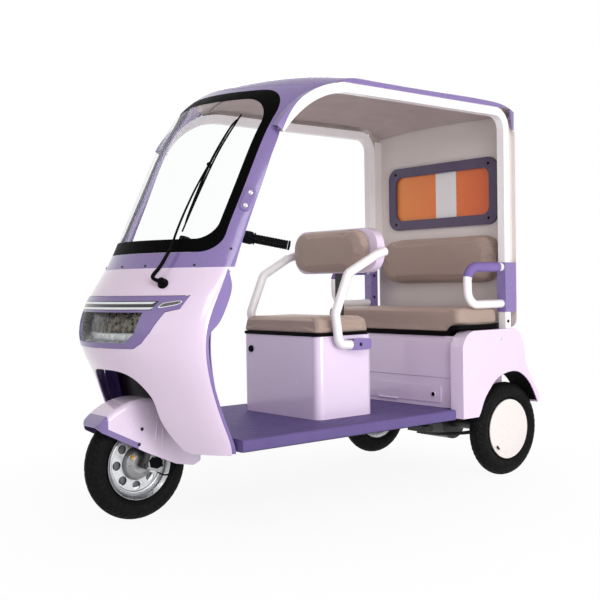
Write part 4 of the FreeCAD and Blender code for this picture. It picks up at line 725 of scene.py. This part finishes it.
def touch(node, start, direction):
    """Where a line from start first meets a CAD node: the point and the outward normal."""
    if node not in TREES:
        mesh = NODES[node].data
        TREES[node] = BVHTree.FromPolygons([v.co for v in mesh.vertices], [p.vertices for p in mesh.polygons])
    direction = Vector(direction).normalized()
    point, normal, _, _ = TREES[node].ray_cast(Vector(start), direction)
    if point is None:
        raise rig.FrameError(f"no surface of {node} from {tuple(start)}")
    if normal.dot(direction) > 0:
        normal = -normal
    return point, normal


def touch_front(node, y, z):
    """Where a line from ahead meets a node."""
    return touch(node, (IN_FRONT, y, z), -AHEAD)


def touch_side(node, side, x, z):
    """Where a line from the side meets a node."""
    return touch(node, (x, side * BESIDE, z), (0, -side, 0))


def skin(y, z, out=0.0):
    """A point on the outer skin of the front, moved out along its normal, and that normal."""
    found = []
    for node in ("windscreen", "windscreen_seal", "cab_surround", "front_shield"):
        try:
            found.append(touch_front(node, y, z))
        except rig.FrameError:
            continue
    point, normal = max(found, key=lambda hit: hit[0].x)
    return point + normal * out * MM, normal


STEERING_RAKE = math.radians(20)
STEERING_OFFSET = 35  # millimetres from the steering axis to the wheel's axle


def steer_point(ahead, across, up):
    """A point in the frame of the raked steering axis, in millimetres."""
    forward = Vector((math.cos(STEERING_RAKE), 0, math.sin(STEERING_RAKE)))
    upward = Vector((-math.sin(STEERING_RAKE), 0, math.cos(STEERING_RAKE)))
    base = FRONT_AXLE - forward * STEERING_OFFSET * MM
    return base + forward * ahead * MM + Vector((0, across * MM, 0)) + upward * up * MM


def bolt_head(bm, point, normal, radius, height, recess=0.45):
    """Domed head with a round socket in it and a flat flange under it."""
    sunk = point - normal * 0.3 * MM
    profile = [(0.0, height * 0.35), (radius * recess, height * 0.35), (radius * recess, height * 0.92),
               (radius * 0.55, height), (radius * 0.8, height * 0.88), (radius * 0.9, height * 0.5),
               (radius * 0.92, height * 0.22), (radius * 1.15, height * 0.16), (radius * 1.15, 0.0)]
    lathe(bm, profile, sunk, normal, 20)


def bolts(name, spots, radius, height, finish, body, slot="chrome_trim"):
    """One piece of several bolt heads in millimetres. Each spot is a (point, normal) pair."""
    bm = bmesh.new()
    for point, normal in spots:
        bolt_head(bm, Vector(point), Vector(normal).normalized(), radius * MM, height * MM)
    return add_piece(name, bm, finish, body, slot, sharp=30.0)


# Tyres

ZIGZAGS = 24  # waves of the groove round the wheel
BLOCKS = 48  # shoulder blocks round the wheel
GROOVE = (16, 4, 3.4)  # degrees from the crown, swing to each side and half width
SHOULDER = (24, 66)
SIDE_LINES = ((67, 70), (112, 114), (124, 126))
GROOVE_DEPTH = 2.6 * MM
BLOCK_DEPTH = 2.4 * MM
LINE_DEPTH = 0.7 * MM


def tread_depth(turn, tilt):
    """How deep the tread is cut at a turn round the wheel and a tilt across it, in metres."""
    side = math.copysign(1.0, tilt)
    lean = abs(math.degrees(tilt))
    wave = math.sin(turn * ZIGZAGS)
    depth = 0.0
    if abs(lean - GROOVE[0] - GROOVE[1] * wave * side) < GROOVE[2]:
        depth = GROOVE_DEPTH
    if SHOULDER[0] < lean < SHOULDER[1]:
        block = (turn * BLOCKS / math.tau + lean / 60 + (0.5 if side > 0 else 0.0)) % 1.0
        if block < 0.26:
            depth = BLOCK_DEPTH
    if any(low < lean < high for low, high in SIDE_LINES):
        depth = LINE_DEPTH
    return depth


def tyre_piece(name, node, centre, body):
    """The CAD tyre's own section, turned with tread cut into its crown."""
    bm = bmesh.new()
    around, over = 288, 72
    ring_radius = TYRE_RADIUS - TYRE_SECTION
    bead = math.acos((BEAD_RADIUS - ring_radius) / TYRE_SECTION)
    rings = []
    for turn_step in range(around):
        turn = math.tau * turn_step / around
        spoke = Vector((math.cos(turn), 0, math.sin(turn)))
        ring = []
        for step in range(over + 1):
            tilt = -bead + 2 * bead * step / over
            section = TYRE_SECTION - tread_depth(turn, tilt)
            reach = ring_radius + section * math.cos(tilt)
            ring.append(centre + spoke * reach + Vector((0, section * math.sin(tilt), 0)))
        rings.append(ring)
    loft(bm, rings, closed=True)
    piece = add_piece(name, bm, "tyre", body, "tyre", sharp=40.0)
    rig.replaces(piece, node)
    return piece


def tyres():
    tyre_piece("tyre_front_tread", "front_tyre", WHEELS["front"], "front_wheel")
    for _, word in SIDES:
        centre = WHEELS[f"rear_{word}"]
        tyre_piece(f"tyre_rear_{word}_tread", f"rear_tyre_{word}", centre, f"rear_wheel_{word}")


# Cushions

PAD_INSET = 1 * MM  # the pad's start, inside the node it replaces
PAD_SWELL = 8 * MM  # the farthest that a point may move
PAD_REST = 9 * MM  # the part over the board that stays put
PAD_PRESSURE = 4.0
PAD_FILL = 0.6
ROUNDING = 8
SEAM = (1.0 * MM, 2.2 * MM)  # depth and width of the pressed line
FINE_MESH = 5.5 * MM
COARSE_MESH = 6.5 * MM


def shrunk(node, inset):
    """A copy of a node's mesh, smaller by the inset on every side."""
    low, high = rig.box(node)
    centre = (low + high) / 2
    mesh = NODES[node].data.copy()
    for vertex in mesh.vertices:
        for axis in range(3):
            scale = 1 - 2 * inset / (high[axis] - low[axis])
            vertex.co[axis] = centre[axis] + (vertex.co[axis] - centre[axis]) * scale
    return mesh


def evaluated_mesh(piece):
    bpy.context.view_layer.update()
    seen = piece.evaluated_get(bpy.context.evaluated_depsgraph_get())
    return bpy.data.meshes.new_from_object(seen)


def remeshed(piece, voxel):
    """Gives the pad an even mesh and rounds its edges."""
    modifier = piece.modifiers.new("Remesh", "REMESH")
    modifier.mode = "VOXEL"
    modifier.voxel_size = voxel
    soften = piece.modifiers.new("Soften", "SMOOTH")
    soften.factor = 0.5
    soften.iterations = ROUNDING
    mesh = evaluated_mesh(piece)
    piece.modifiers.clear()
    piece.data = mesh


def inflate(piece, rests):
    """Swells the pad with the cloth solver and keeps each point near its start."""
    start = [vertex.co.copy() for vertex in piece.data.vertices]
    group = piece.vertex_groups.new(name="rest")
    group.add([index for index, point in enumerate(start) if rests(point)], 1.0, "REPLACE")
    cloth = piece.modifiers.new("Cloth", "CLOTH")
    settings = cloth.settings
    settings.quality = 5
    settings.mass = 0.3
    settings.tension_stiffness = 15.0
    settings.compression_stiffness = 15.0
    settings.bending_stiffness = 0.5
    settings.use_pressure = True
    settings.uniform_pressure_force = PAD_PRESSURE
    settings.effector_weights.gravity = 0.0
    settings.vertex_group_mass = "rest"
    cloth.point_cache.frame_end = 20
    for number in range(1, 21):
        SCENE.frame_set(number)
    swollen = evaluated_mesh(piece)
    piece.modifiers.clear()
    piece.vertex_groups.clear()
    SCENE.frame_set(1)
    for vertex, origin in zip(swollen.vertices, start):
        move = vertex.co - origin
        if move.length > PAD_SWELL:
            vertex.co = origin + move.normalized() * PAD_SWELL
    piece.data = swollen


def press_seam(mesh, height_of, level):
    """Presses a sewn line into the sides of a pad where height_of is at the level."""
    depth, width = SEAM
    normals = [vertex.normal.copy() for vertex in mesh.vertices]
    for vertex, normal in zip(mesh.vertices, normals):
        off = (height_of(vertex.co) - level) / width
        if abs(off) < 3:
            vertex.co -= normal * depth * math.exp(-off * off)


def cushion(name, node, body, rests, seam, voxel):
    """A soft pad that stands in for a plain one."""
    piece = bpy.data.objects.new(name, shrunk(node, PAD_INSET))
    SCENE.collection.objects.link(piece)
    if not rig.quick():
        remeshed(piece, voxel)
        inflate(piece, rests)
    press_seam(piece.data, *seam)
    piece.data.materials.clear()
    piece.data.materials.append(MATERIALS["leather"])
    for face in piece.data.polygons:
        face.use_smooth = True
    finer = piece.modifiers.new("Soften", "SUBSURF")
    finer.levels = 1
    finer.render_levels = 1
    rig.ride(piece, body)
    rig.slot(piece, "grey_leather")
    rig.replaces(piece, node)
    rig.padded(piece, fill=PAD_FILL)


def seats():
    for name, node, body, voxel in (("rear_bench_pad", "rear_seat_cushion", "vehicle", COARSE_MESH),
                                    ("driver_seat_pad", "driver_seat_cushion", "driver_seat_lid", FINE_MESH)):
        low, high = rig.box(node)
        cushion(name, node, body, rests=lambda point, floor=low.z: point.z < floor + PAD_REST,
                seam=(lambda point: point.z, high.z - 16 * MM), voxel=voxel)
    for name, node in (("rear_back_pad", "rear_backrest"), ("driver_back_pad", "driver_backrest")):
        low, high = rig.box(node)
        cushion(name, node, "vehicle", rests=lambda point, back=low.x: point.x < back + PAD_REST,
                seam=(lambda point: point.x, low.x + (high.x - low.x) * 0.42), voxel=FINE_MESH)


# Bolts and locks

COWL_BOLTS = ((0.016, 0.941), (0.138, 0.941), (0.308, 0.941), (-0.2, 0.941), (-0.308, 0.941), (0.387, 0.997),
              (-0.387, 0.997))  # Y, Z
GUARD_BOLTS = ((0.015, 0.345), (0.028, 0.290))  # X from the front axle, Z
WINDOW_BOLTS = (0.050, 0.030)  # inward from the frame's side and from its edges
ARM_FOOT_BOLT = (-0.066, 0.618)  # X, Z
RAIL_FOOT_BOLT = (-0.827, 0.688)  # X, Z
BRACKET_BOLTS = (-0.826, (0.905, 0.795))  # X and both heights
MIRROR_HOLES = ((-0.245, 1.150), (-0.269, 1.197))  # X from the front axle, Z
MIRROR_HOLE_Y = 0.384
BOX_LOCK = (-0.189, 0.591)  # Y, Z
HATCH_LOCK = (0.282, 0.376)  # Y, Z
MUDGUARD_LOCK = (-0.746, 0.615)  # X, Z


def surface_bolts():
    cowl = [touch_front("cab_surround", y, z) for y, z in COWL_BOLTS]
    bolts("cowl_bolts", cowl, 4.2, 3.0, "bolt", "vehicle")
    guard = [touch_side("front_fender", side, FRONT_AXLE.x + x, z)
             for side, _ in SIDES for x, z in GUARD_BOLTS]
    bolts("front_fender_bolts", guard, 6.0, 4.0, "bolt", "steering")
    low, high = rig.box("rear_window_frame")
    inward, edge = WINDOW_BOLTS
    window = [touch("rear_window_frame", (0, side * (high.y - inward), z), -AHEAD)
              for side, _ in SIDES for z in (low.z + edge, high.z - edge)]
    bolts("window_frame_bolts", window, 6.0, 3.5, "black", "vehicle", "black_plastic")
    feet = [touch_side(f"driver_arm_{word}", side, *ARM_FOOT_BOLT) for side, word in SIDES]
    bolts("arm_foot_bolts", feet, 7.0, 4.0, "bolt", "vehicle")
    bracket_x, heights = BRACKET_BOLTS
    brackets = [touch(f"handle_bracket_{word}", (bracket_x, side * 0.2, z), (0, side, 0))
                for side, word in SIDES for z in heights]
    bolts("bracket_bolts", brackets, 6.5, 4.0, "bolt", "vehicle")
    rails = [touch_side(f"side_rail_{word}", side, *RAIL_FOOT_BOLT) for side, word in SIDES]
    bolts("rail_foot_bolts", rails, 6.5, 4.5, "bolt", "vehicle")


def mirror_bolts():
    """Two bolts in each raised mirror pad, over the declared bores."""
    spots = []
    for side, _ in SIDES:
        normal = Vector((0.62816, side * 0.70889, 0.32076))
        aside = across(normal)[0] * 7 * MM
        for x, z in MIRROR_HOLES:
            hole = Vector((FRONT_AXLE.x + x, side * MIRROR_HOLE_Y, z))
            surface, _ = touch("mirror_bosses", hole + aside + normal * 0.05, -normal)
            spots.append((hole + normal * (surface - hole).dot(normal), normal))
    bolts("mirror_pad_bolts", spots, 7.0, 6.0, "chrome", "vehicle")


def lock(bm, point, normal, radius):
    """Round lock: a raised ring with a sunken barrel and a key slot."""
    height = radius * 0.5
    profile = [(0.0, height * 0.5), (radius * 0.62, height * 0.5), (radius * 0.66, height * 0.95),
               (radius * 0.8, height), (radius * 0.95, height * 0.75), (radius, height * 0.2),
               (radius, -0.3 * MM)]
    lathe(bm, profile, point, normal, 28)
    side, up, along = across(normal)
    slot = []
    for level in (0.45, 0.75):
        slot.append([point + side * a * radius * 0.10 + up * b * radius * 0.42 + along * height * level
                     for a, b in ((-1, -1), (1, -1), (1, 1), (-1, 1))])
    loft(bm, slot)


def locks():
    bm = bmesh.new()
    lock(bm, *touch_front("driver_seat_box", *BOX_LOCK), 15 * MM)
    add_piece("driver_box_lock", bm, "black", "vehicle", "black_plastic")
    bm = bmesh.new()
    lock(bm, *touch("battery_hatch", (0, *HATCH_LOCK), -AHEAD), 9 * MM)
    add_piece("hatch_lock", bm, "black", "battery_flap", "black_plastic")
    bm = bmesh.new()
    for side, word in SIDES:
        lock(bm, *touch_side(f"rear_fender_{word}", side, *MUDGUARD_LOCK), 8 * MM)
    add_piece("mudguard_locks", bm, "chrome", "vehicle", "chrome_trim")


# Wiper. Its lines are rows of Y, Z in metres and the height over the skin in millimetres.

WIPER_SPINDLE = (0.243, 0.876)
WIPER_JOINT = (0.234, 1.302)
WIPER_CAP = ((0.0, 27), (9, 27), (13, 24), (15, 16), (15, 9), (19, 6), (20, -1))
WIPER_PIVOT = ((0.0, 26), (6, 26), (8, 23), (8, 8), (0.0, 8))
WIPER_ELBOW = ((0.250, 0.873, 19), (0.232, 0.877, 22), (0.214, 0.884, 25), (0.211, 0.897, 26),
               (0.219, 0.925, 28), (0.224, 0.985, 30))
WIPER_ARM = ((0.226, 0.975, 30), (0.219, 1.08, 28), (0.223, 1.20, 25), (0.234, 1.302, 20))
WIPER_BOW = ((0.227, 1.09, 9), (0.229, 1.14, 14), (0.234, 1.302, 17), (0.247, 1.43, 13), (0.254, 1.478, 9))
WIPER_BLADE = ((0.225, 1.061, 5.5), (0.231, 1.20, 6), (0.242, 1.36, 6), (0.257, 1.501, 5.5))


def taper(first, last):
    """A radius in millimetres that runs from the first value to the last."""
    return lambda share: (first + (last - first) * share) * MM


def wiper():
    """Motor cap, sprung arm and double blade."""
    def line(points):
        return smooth_line([skin(y, z, out)[0] for y, z, out in points], 10)

    bm = bmesh.new()
    turned(bm, WIPER_CAP, *skin(*WIPER_SPINDLE))
    sweep(bm, line(WIPER_ELBOW), taper(12, 8), 16, flat=0.6)
    sweep(bm, line(WIPER_ARM), taper(6.5, 4.5), 14, flat=0.6)
    sweep(bm, line(WIPER_BOW), lambda share: (3.5 + 3.0 * math.sin(math.pi * share)) * MM, 12, flat=0.6)
    sweep(bm, line(WIPER_BLADE), taper(3.2, 3.2), 12)
    turned(bm, WIPER_PIVOT, *skin(*WIPER_JOINT), 20)
    piece = add_piece("wiper_assembly", bm, "black", "vehicle", "black_plastic")
    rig.replaces(piece, "windscreen_wiper")


# Handles and handlebar

SLEEVE_LEVEL = 0.930
SLEEVE_SIDE = 0.428
SLEEVE_START = -0.785
SLEEVE_CORNER = -0.6373  # X where the handle's bend begins
SLEEVE_BEND = 0.062  # radius of that bend

GRIP_START = (-30, 215, 919)
GRIP_END = (-150, 310, 929)
SWITCH_RINGS = ((-34, 12, 13), (-32, 18, 19), (-12, 20, 22), (10, 21, 23), (22, 19, 21), (24, 14, 15))
GRIP_FLANGE = ((0.0, 25), (22, 25), (23, 28), (22, 31), (0.0, 31))
GRIP_CAP = ((0.0, 158), (17, 158), (19, 161), (18, 166), (0.0, 168))
GRIP_RIB = ((16.5, 0), (18.2, 1.5), (18.2, 5), (16.5, 6.5))
GRIP_RIBS = 11
LEVER = ((-8, 24, -6), (4, 46, -14), (30, 58, -20), (75, 56, -22), (120, 50, -20), (135, 52, -18))


def sleeve_radius(share):
    ripple = (20.2 + 1.5 * abs(math.sin(share * 17 * math.pi))) * MM
    return ripple - (1.6 * MM if share in (0.0, 1.0) else 0.0)


def grip_sleeves():
    """Ringed sleeve on the upper leg and bend of each grab handle."""
    for side, word in SIDES:
        y = side * SLEEVE_SIDE
        line = [Vector((SLEEVE_START + (SLEEVE_CORNER - SLEEVE_START) * step / 40, y, SLEEVE_LEVEL))
                for step in range(40)]
        for step in range(33):
            angle = math.radians(90 - 74 * step / 32)
            line.append(Vector((SLEEVE_CORNER + SLEEVE_BEND * math.cos(angle), y,
                                SLEEVE_LEVEL - SLEEVE_BEND + SLEEVE_BEND * math.sin(angle))))
        bm = bmesh.new()
        sweep(bm, line, sleeve_radius, 28)
        add_piece(f"grab_sleeve_{word}", bm, "violet_satin", "vehicle", "violet_plastic", sharp=60.0)


def switch_block(bm, start, way, out, up):
    """Rounded square housing along the bar."""
    rings = []
    for along, wide, tall in SWITCH_RINGS:
        ring = []
        for step in range(32):
            angle = math.tau * step / 32
            cos, sin = math.cos(angle), math.sin(angle)
            square = (abs(cos) ** 5 + abs(sin) ** 5) ** (-1 / 5)
            outward = out * cos * square * wide * MM
            ring.append(start + way * along * MM + outward + up * sin * square * tall * MM)
        rings.append(ring)
    loft(bm, rings)


def hand_controls():
    """Switch housings, grip ribs and brake levers at both ends of the bar."""
    for side, word in SIDES:
        start, end = (steer_point(ahead, side * aside, up) for ahead, aside, up in (GRIP_START, GRIP_END))
        way = (end - start).normalized()
        up = steer_point(0, 0, 1) - steer_point(0, 0, 0)
        up = (up - way * up.dot(way)).normalized()
        out = way.cross(up) * side
        bm = bmesh.new()
        switch_block(bm, start, way, out, up)
        turned(bm, GRIP_FLANGE, start, way)
        turned(bm, GRIP_CAP, start, way)
        for number in range(GRIP_RIBS):
            place = 40 + number * 11
            turned(bm, [(radius, place + height) for radius, height in GRIP_RIB], start, way, 28)
        add_piece(f"hand_control_{word}", bm, "rubber", "steering", "rubber_black")
        points = [start + way * a * MM + out * b * MM + up * c * MM for a, b, c in LEVER]
        tube_piece(f"brake_lever_{word}", points, taper(5.5, 4.0), "black", "steering", "black_steel",
                   flat=0.7)


# Lamps

TURN_LAMP = ((0.270, 0.7935), (0.300, 0.798), (0.324, 0.8045), (0.331, 0.813), (0.322, 0.8155),
             (0.297, 0.811), (0.279, 0.807))  # Y, Z on the left
TURN_LENS = ((1.0, 0.2), (0.9, 1.6), (0.6, 2.4), (0.25, 2.7))


def outline_on(node, corners):
    """A closed smooth outline of (y, z) corners laid on a node from the front, with its normals."""
    flat = smooth_line([(0, y, z) for y, z in corners], 6, closed=True)
    return [touch_front(node, point.y, point.z) for point in flat]


def turn_lamps():
    """Slim side lamps in the upper wings of the headlamp surround."""
    for side, word in SIDES:
        ring = outline_on("headlamp_bezel", [(side * y, z) for y, z in TURN_LAMP])
        middle = sum((point for point, _ in ring), Vector()) / len(ring)
        bm = bmesh.new()
        sweep(bm, [point + normal * 0.6 * MM for point, normal in ring], 1.9 * MM, 10, closed=True)
        add_piece(f"turn_lamp_frame_{word}", bm, "chrome", "vehicle", "chrome_trim")
        bm = bmesh.new()
        loft(bm, [[middle + (point - middle) * share + normal * lift * MM for point, normal in ring]
                  for share, lift in TURN_LENS])
        add_piece(f"turn_lamp_lens_{word}", bm, "smoke", "vehicle", "lamp_glass")


# Wheels. Profiles are rows of radius and height in millimetres.

HUB_COVER = ((9, 36.5), (30, 36.5), (34, 33), (52, 27), (56, 22), (60, 8), (58, 3), (30, 3), (9, 3))
HUB_BOLT_CIRCLE = 42
BRAKE_OUTLINE = ((-8, 6), (10, 20), (44, 26), (58, 12), (52, -16), (20, -26), (-6, -18))
BRAKE_LAYERS = ((49, 0.86), (51, 1.0), (62, 1.0), (66, 0.84))  # Y and size
BRAKE_PLACE = Vector((-0.050, 0, 0.004))
FITTING_PLACE = Vector((0.046, 0.060, 0.036))
FITTING_NUT = ((0.0, 0.0), (6, 0.0), (6, 7), (4, 8), (4, 14), (0.0, 15))
FITTING_BASE = ((0.0, -6), (8, -6), (8, 1), (0.0, 1))
CABLE = ((-0.040, 0.060, -0.016), (-0.062, 0.062, -0.036), (-0.092, 0.062, -0.048), (-0.122, 0.060, -0.040),
         (-0.142, 0.058, -0.014), (-0.150, 0.056, 0.020))  # from the front axle
RIM_BEADS = ((102, 113, 5.5), (58, 64, 3.0))  # inner and outer radius, rise
RIM_FACE = 2.2
FRONT_HOLE_SHADE_DISC = ((10, 7), (88, 7), (92, 11), (92, 24), (86, 28), (10, 28), (10, 7))
VALVE = ((0.0, -4), (5, -4), (5, 3), (3.4, 5), (3.4, 9), (4.2, 9.5), (4.2, 14), (0.0, 15))
VALVE_PLACE = (-0.735, 0.4545, 0.135)
VALVE_LEAN = (0.35, 0.75, -0.45)


def front_hub():
    """Hub cover, brake block, brass fitting and held cable at the front wheel."""
    bm = bmesh.new()
    turned(bm, HUB_COVER, FRONT_AXLE, LEFT, 48)
    for number in range(6):
        angle = math.tau * number / 6
        spoke = Vector((math.cos(angle), 0, math.sin(angle)))
        bolt_head(bm, FRONT_AXLE + spoke * HUB_BOLT_CIRCLE * MM + LEFT * 30 * MM, LEFT, 4.2 * MM, 3.5 * MM)
    add_piece("front_hub_cover", bm, "alloy", "front_wheel", "wheel_silver")
    bm = bmesh.new()
    place = FRONT_AXLE + BRAKE_PLACE
    loft(bm, [[place + Vector(((x - 24) * grow, 0, z * grow)) * MM + LEFT * y * MM for x, z in BRAKE_OUTLINE]
              for y, grow in BRAKE_LAYERS])
    add_piece("front_brake_block", bm, "black", "steering", "black_plastic")
    bm = bmesh.new()
    fitting = FRONT_AXLE + FITTING_PLACE
    turned(bm, FITTING_NUT, fitting, (0.5, 0.2, 0.84), 6)
    turned(bm, FITTING_BASE, fitting, LEFT, 18)
    add_piece("brake_fitting", bm, "brass", "steering", "wheel_silver")
    tube_piece("front_brake_cable", [FRONT_AXLE + Vector(point) for point in CABLE], 3.0 * MM, "black",
               "steering", "black_plastic", sides=12)


def wheel_beads():
    """Pressed beads on the discs of the rims and a grey disc behind the front one, which puts painted shade in the
    rim's holes.
    """
    for name, body in (("front", "front_wheel"), ("rear_left", "rear_wheel_left"),
                       ("rear_right", "rear_wheel_right")):
        bm = bmesh.new()
        for side, _ in SIDES:
            for inner, outer, rise in RIM_BEADS:
                shoulder = RIM_FACE + 0.7 * rise
                profile = [(inner, RIM_FACE), (inner + 2, shoulder), ((inner + outer) / 2, RIM_FACE + rise),
                           (outer - 2, shoulder), (outer, RIM_FACE)]
                turned(bm, profile, WHEELS[name], (0, side, 0), 72)
        add_piece(f"rim_beads_{name}", bm, "rim", body, "wheel_silver", sharp=60.0)
    bm = bmesh.new()
    # a grey disc behind the front rim stands in for the shade seen through its holes
    turned(bm, FRONT_HOLE_SHADE_DISC, FRONT_AXLE, -LEFT, 72)
    add_piece("front_hole_shade_disc", bm, "hole_shade_alloy", "front_wheel", "wheel_silver")


def valve_stems():
    for side, word in SIDES:
        bm = bmesh.new()
        foot, lean = (Vector((x, side * y, z)) for x, y, z in (VALVE_PLACE, VALVE_LEAN))
        turned(bm, VALVE, foot, lean, 16)
        add_piece(f"valve_stem_{word}", bm, "rubber", f"rear_wheel_{word}", "rubber_black")


# Folds of the front mudguard: X from the front axle and Z of both ends
FOLDS = (((-0.052, 0.372), (-0.036, 0.262)), ((-0.074, 0.366), (-0.074, 0.245)))


def fold_radius(share):
    return (1.2 + 3.4 * math.sin(math.pi * min(share * 1.15, 1.0))) * MM


def guard_ribs():
    """Two raised folds down each side of the front mudguard."""
    for side, word in SIDES:
        bm = bmesh.new()
        for start, end in FOLDS:
            line = []
            for step in range(17):
                share = step / 16
                x = FRONT_AXLE.x + start[0] + (end[0] - start[0]) * share
                z = start[1] + (end[1] - start[1]) * share
                point, normal = touch_side("front_fender", side, x, z)
                line.append(point - normal * 0.8 * MM)
            sweep(bm, line, fold_radius, 12)
        add_piece(f"mudguard_folds_{word}", bm, "lilac", "steering", "lilac_plastic", sharp=60.0)


# Studio

CAMERA_PLACE = Vector((2.6415, 3.1683, 0.8693))
CAMERA_RIGHT = Vector((-0.76878, 0.63933, -0.01521))
CAMERA_UP = Vector((-0.02251, -0.00328, 0.99974))
CAMERA_LENS = 57.95
SENSOR_WIDTH = 36.0
ROOM_LIGHT = (srgb(252, 239, 236), 0.52)
PAPER = srgb(244, 244, 246)
FLOOR_RINGS = ((0.0, 0.0), (2.0, 0.0), (6.0, 0.0), (30.0, 0.0))
FLOOR_LEVEL = -0.2 * MM
FADE = (0.6, 1.8, 0.91, 1.0)  # nearest and farthest distance, share of glow at each

# Name, place, target, size in metres and power in watts
LIGHTS = (
    ("key_light", (2.2, 4.6, 3.2), (0, 0, 0.7), (3.0, 2.4), 92),
    ("front_light", (5.2, 0.6, 2.2), (0.4, 0, 0.8), (2.6, 2.6), 9),
    ("door_light", (-0.1, 3.0, 0.7), (-0.8, 0, 1.0), (1.6, 1.0), 34),
    ("back_light", (-3.4, -3.2, 3.4), (0, 0, 0.9), (3.0, 2.0), 60),
)


def camera():
    data = bpy.data.cameras.new("photo_camera")
    data.lens = CAMERA_LENS
    data.sensor_width = SENSOR_WIDTH
    eye = bpy.data.objects.new("photo_camera", data)
    back = CAMERA_RIGHT.cross(CAMERA_UP)
    turn = Matrix((CAMERA_RIGHT, CAMERA_UP, back)).transposed()
    eye.matrix_world = Matrix.Translation(CAMERA_PLACE) @ turn.to_4x4()
    SCENE.collection.objects.link(eye)
    SCENE.camera = eye


def softbox(name, place, target, size, power):
    data = bpy.data.lights.new(name, "AREA")
    data.shape = "RECTANGLE"
    data.size, data.size_y = size
    data.energy = power
    lamp = bpy.data.objects.new(name, data)
    lamp.location = place
    lamp.rotation_mode = "QUATERNION"
    lamp.rotation_quaternion = (Vector(target) - Vector(place)).to_track_quat("-Z", "Y")
    lamp.visible_camera = False
    SCENE.collection.objects.link(lamp)


def seen_directly(tree):
    """1 for camera, mirror and glass rays, which see the plain white background."""
    path = tree.nodes.new("ShaderNodeLightPath")
    total = path.outputs["Is Camera Ray"]
    for key in ("Is Glossy Ray", "Is Transmission Ray"):
        node = tree.nodes.new("ShaderNodeMath")
        node.operation = "MAXIMUM"
        tree.links.new(total, node.inputs[0])
        tree.links.new(path.outputs[key], node.inputs[1])
        total = node.outputs[0]
    return total


def world():
    """Soft room light that the camera sees as plain white."""
    place = bpy.data.worlds.new("studio")
    place.use_nodes = True
    tree = place.node_tree
    back = tree.nodes["Background"]
    soft = tree.nodes.new("ShaderNodeBackground")
    soft.inputs["Color"].default_value, soft.inputs["Strength"].default_value = ROOM_LIGHT
    back.inputs["Color"].default_value = (1, 1, 1, 1)
    back.inputs["Strength"].default_value = 1.0
    mix = tree.nodes.new("ShaderNodeMixShader")
    for source, socket in ((seen_directly(tree), 0), (soft.outputs[0], 1), (back.outputs[0], 2)):
        tree.links.new(source, mix.inputs[socket])
    tree.links.new(mix.outputs[0], tree.nodes["World Output"].inputs["Surface"])
    SCENE.world = place


def floor_paper():
    """Matt paper that turns into the white background away from the vehicle."""
    paper = Shader("studio_paper")
    paper.set(Base_Color=PAPER, Roughness=0.9)
    glow = paper.add("ShaderNodeEmission")
    glow.inputs["Strength"].default_value = 1.0
    length = paper.add("ShaderNodeVectorMath", operation="LENGTH")
    paper.link(paper.place, length.inputs[0])
    share = paper.both(paper.span(length.outputs["Value"], *FADE), seen_directly(paper.tree))
    mix = paper.add("ShaderNodeMixShader")
    for source, socket in ((share, 0), (paper.principled.outputs[0], 1), (glow.outputs[0], 2)):
        paper.link(source, mix.inputs[socket])
    paper.link(mix.outputs[0], paper.tree.nodes["Material Output"].inputs["Surface"])
    return paper.material


def floor():
    bm = bmesh.new()
    lathe(bm, FLOOR_RINGS, (0, 0, FLOOR_LEVEL), (0, 0, 1), 64)
    mesh = mesh_from("studio_floor", bm)
    ground = bpy.data.objects.new("studio_floor", mesh)
    SCENE.collection.objects.link(ground)
    mesh.materials.append(floor_paper())
    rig.stage(ground)


def studio():
    SCENE.view_settings.view_transform = "Standard"
    camera()
    world()
    floor()
    for light in LIGHTS:
        softbox(*light)


studio()
dress_nodes()
tyres()
seats()
surface_bolts()
mirror_bolts()
locks()
wiper()
grip_sleeves()
hand_controls()
turn_lamps()
front_hub()
wheel_beads()
valve_stems()
guard_ribs()

low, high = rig.bounds()
with open(SIZE_FILE, "w") as size_file:
    json.dump({"cad": [list(CAD_LOW), list(CAD_HIGH)], "visual": [list(low), list(high)]}, size_file)
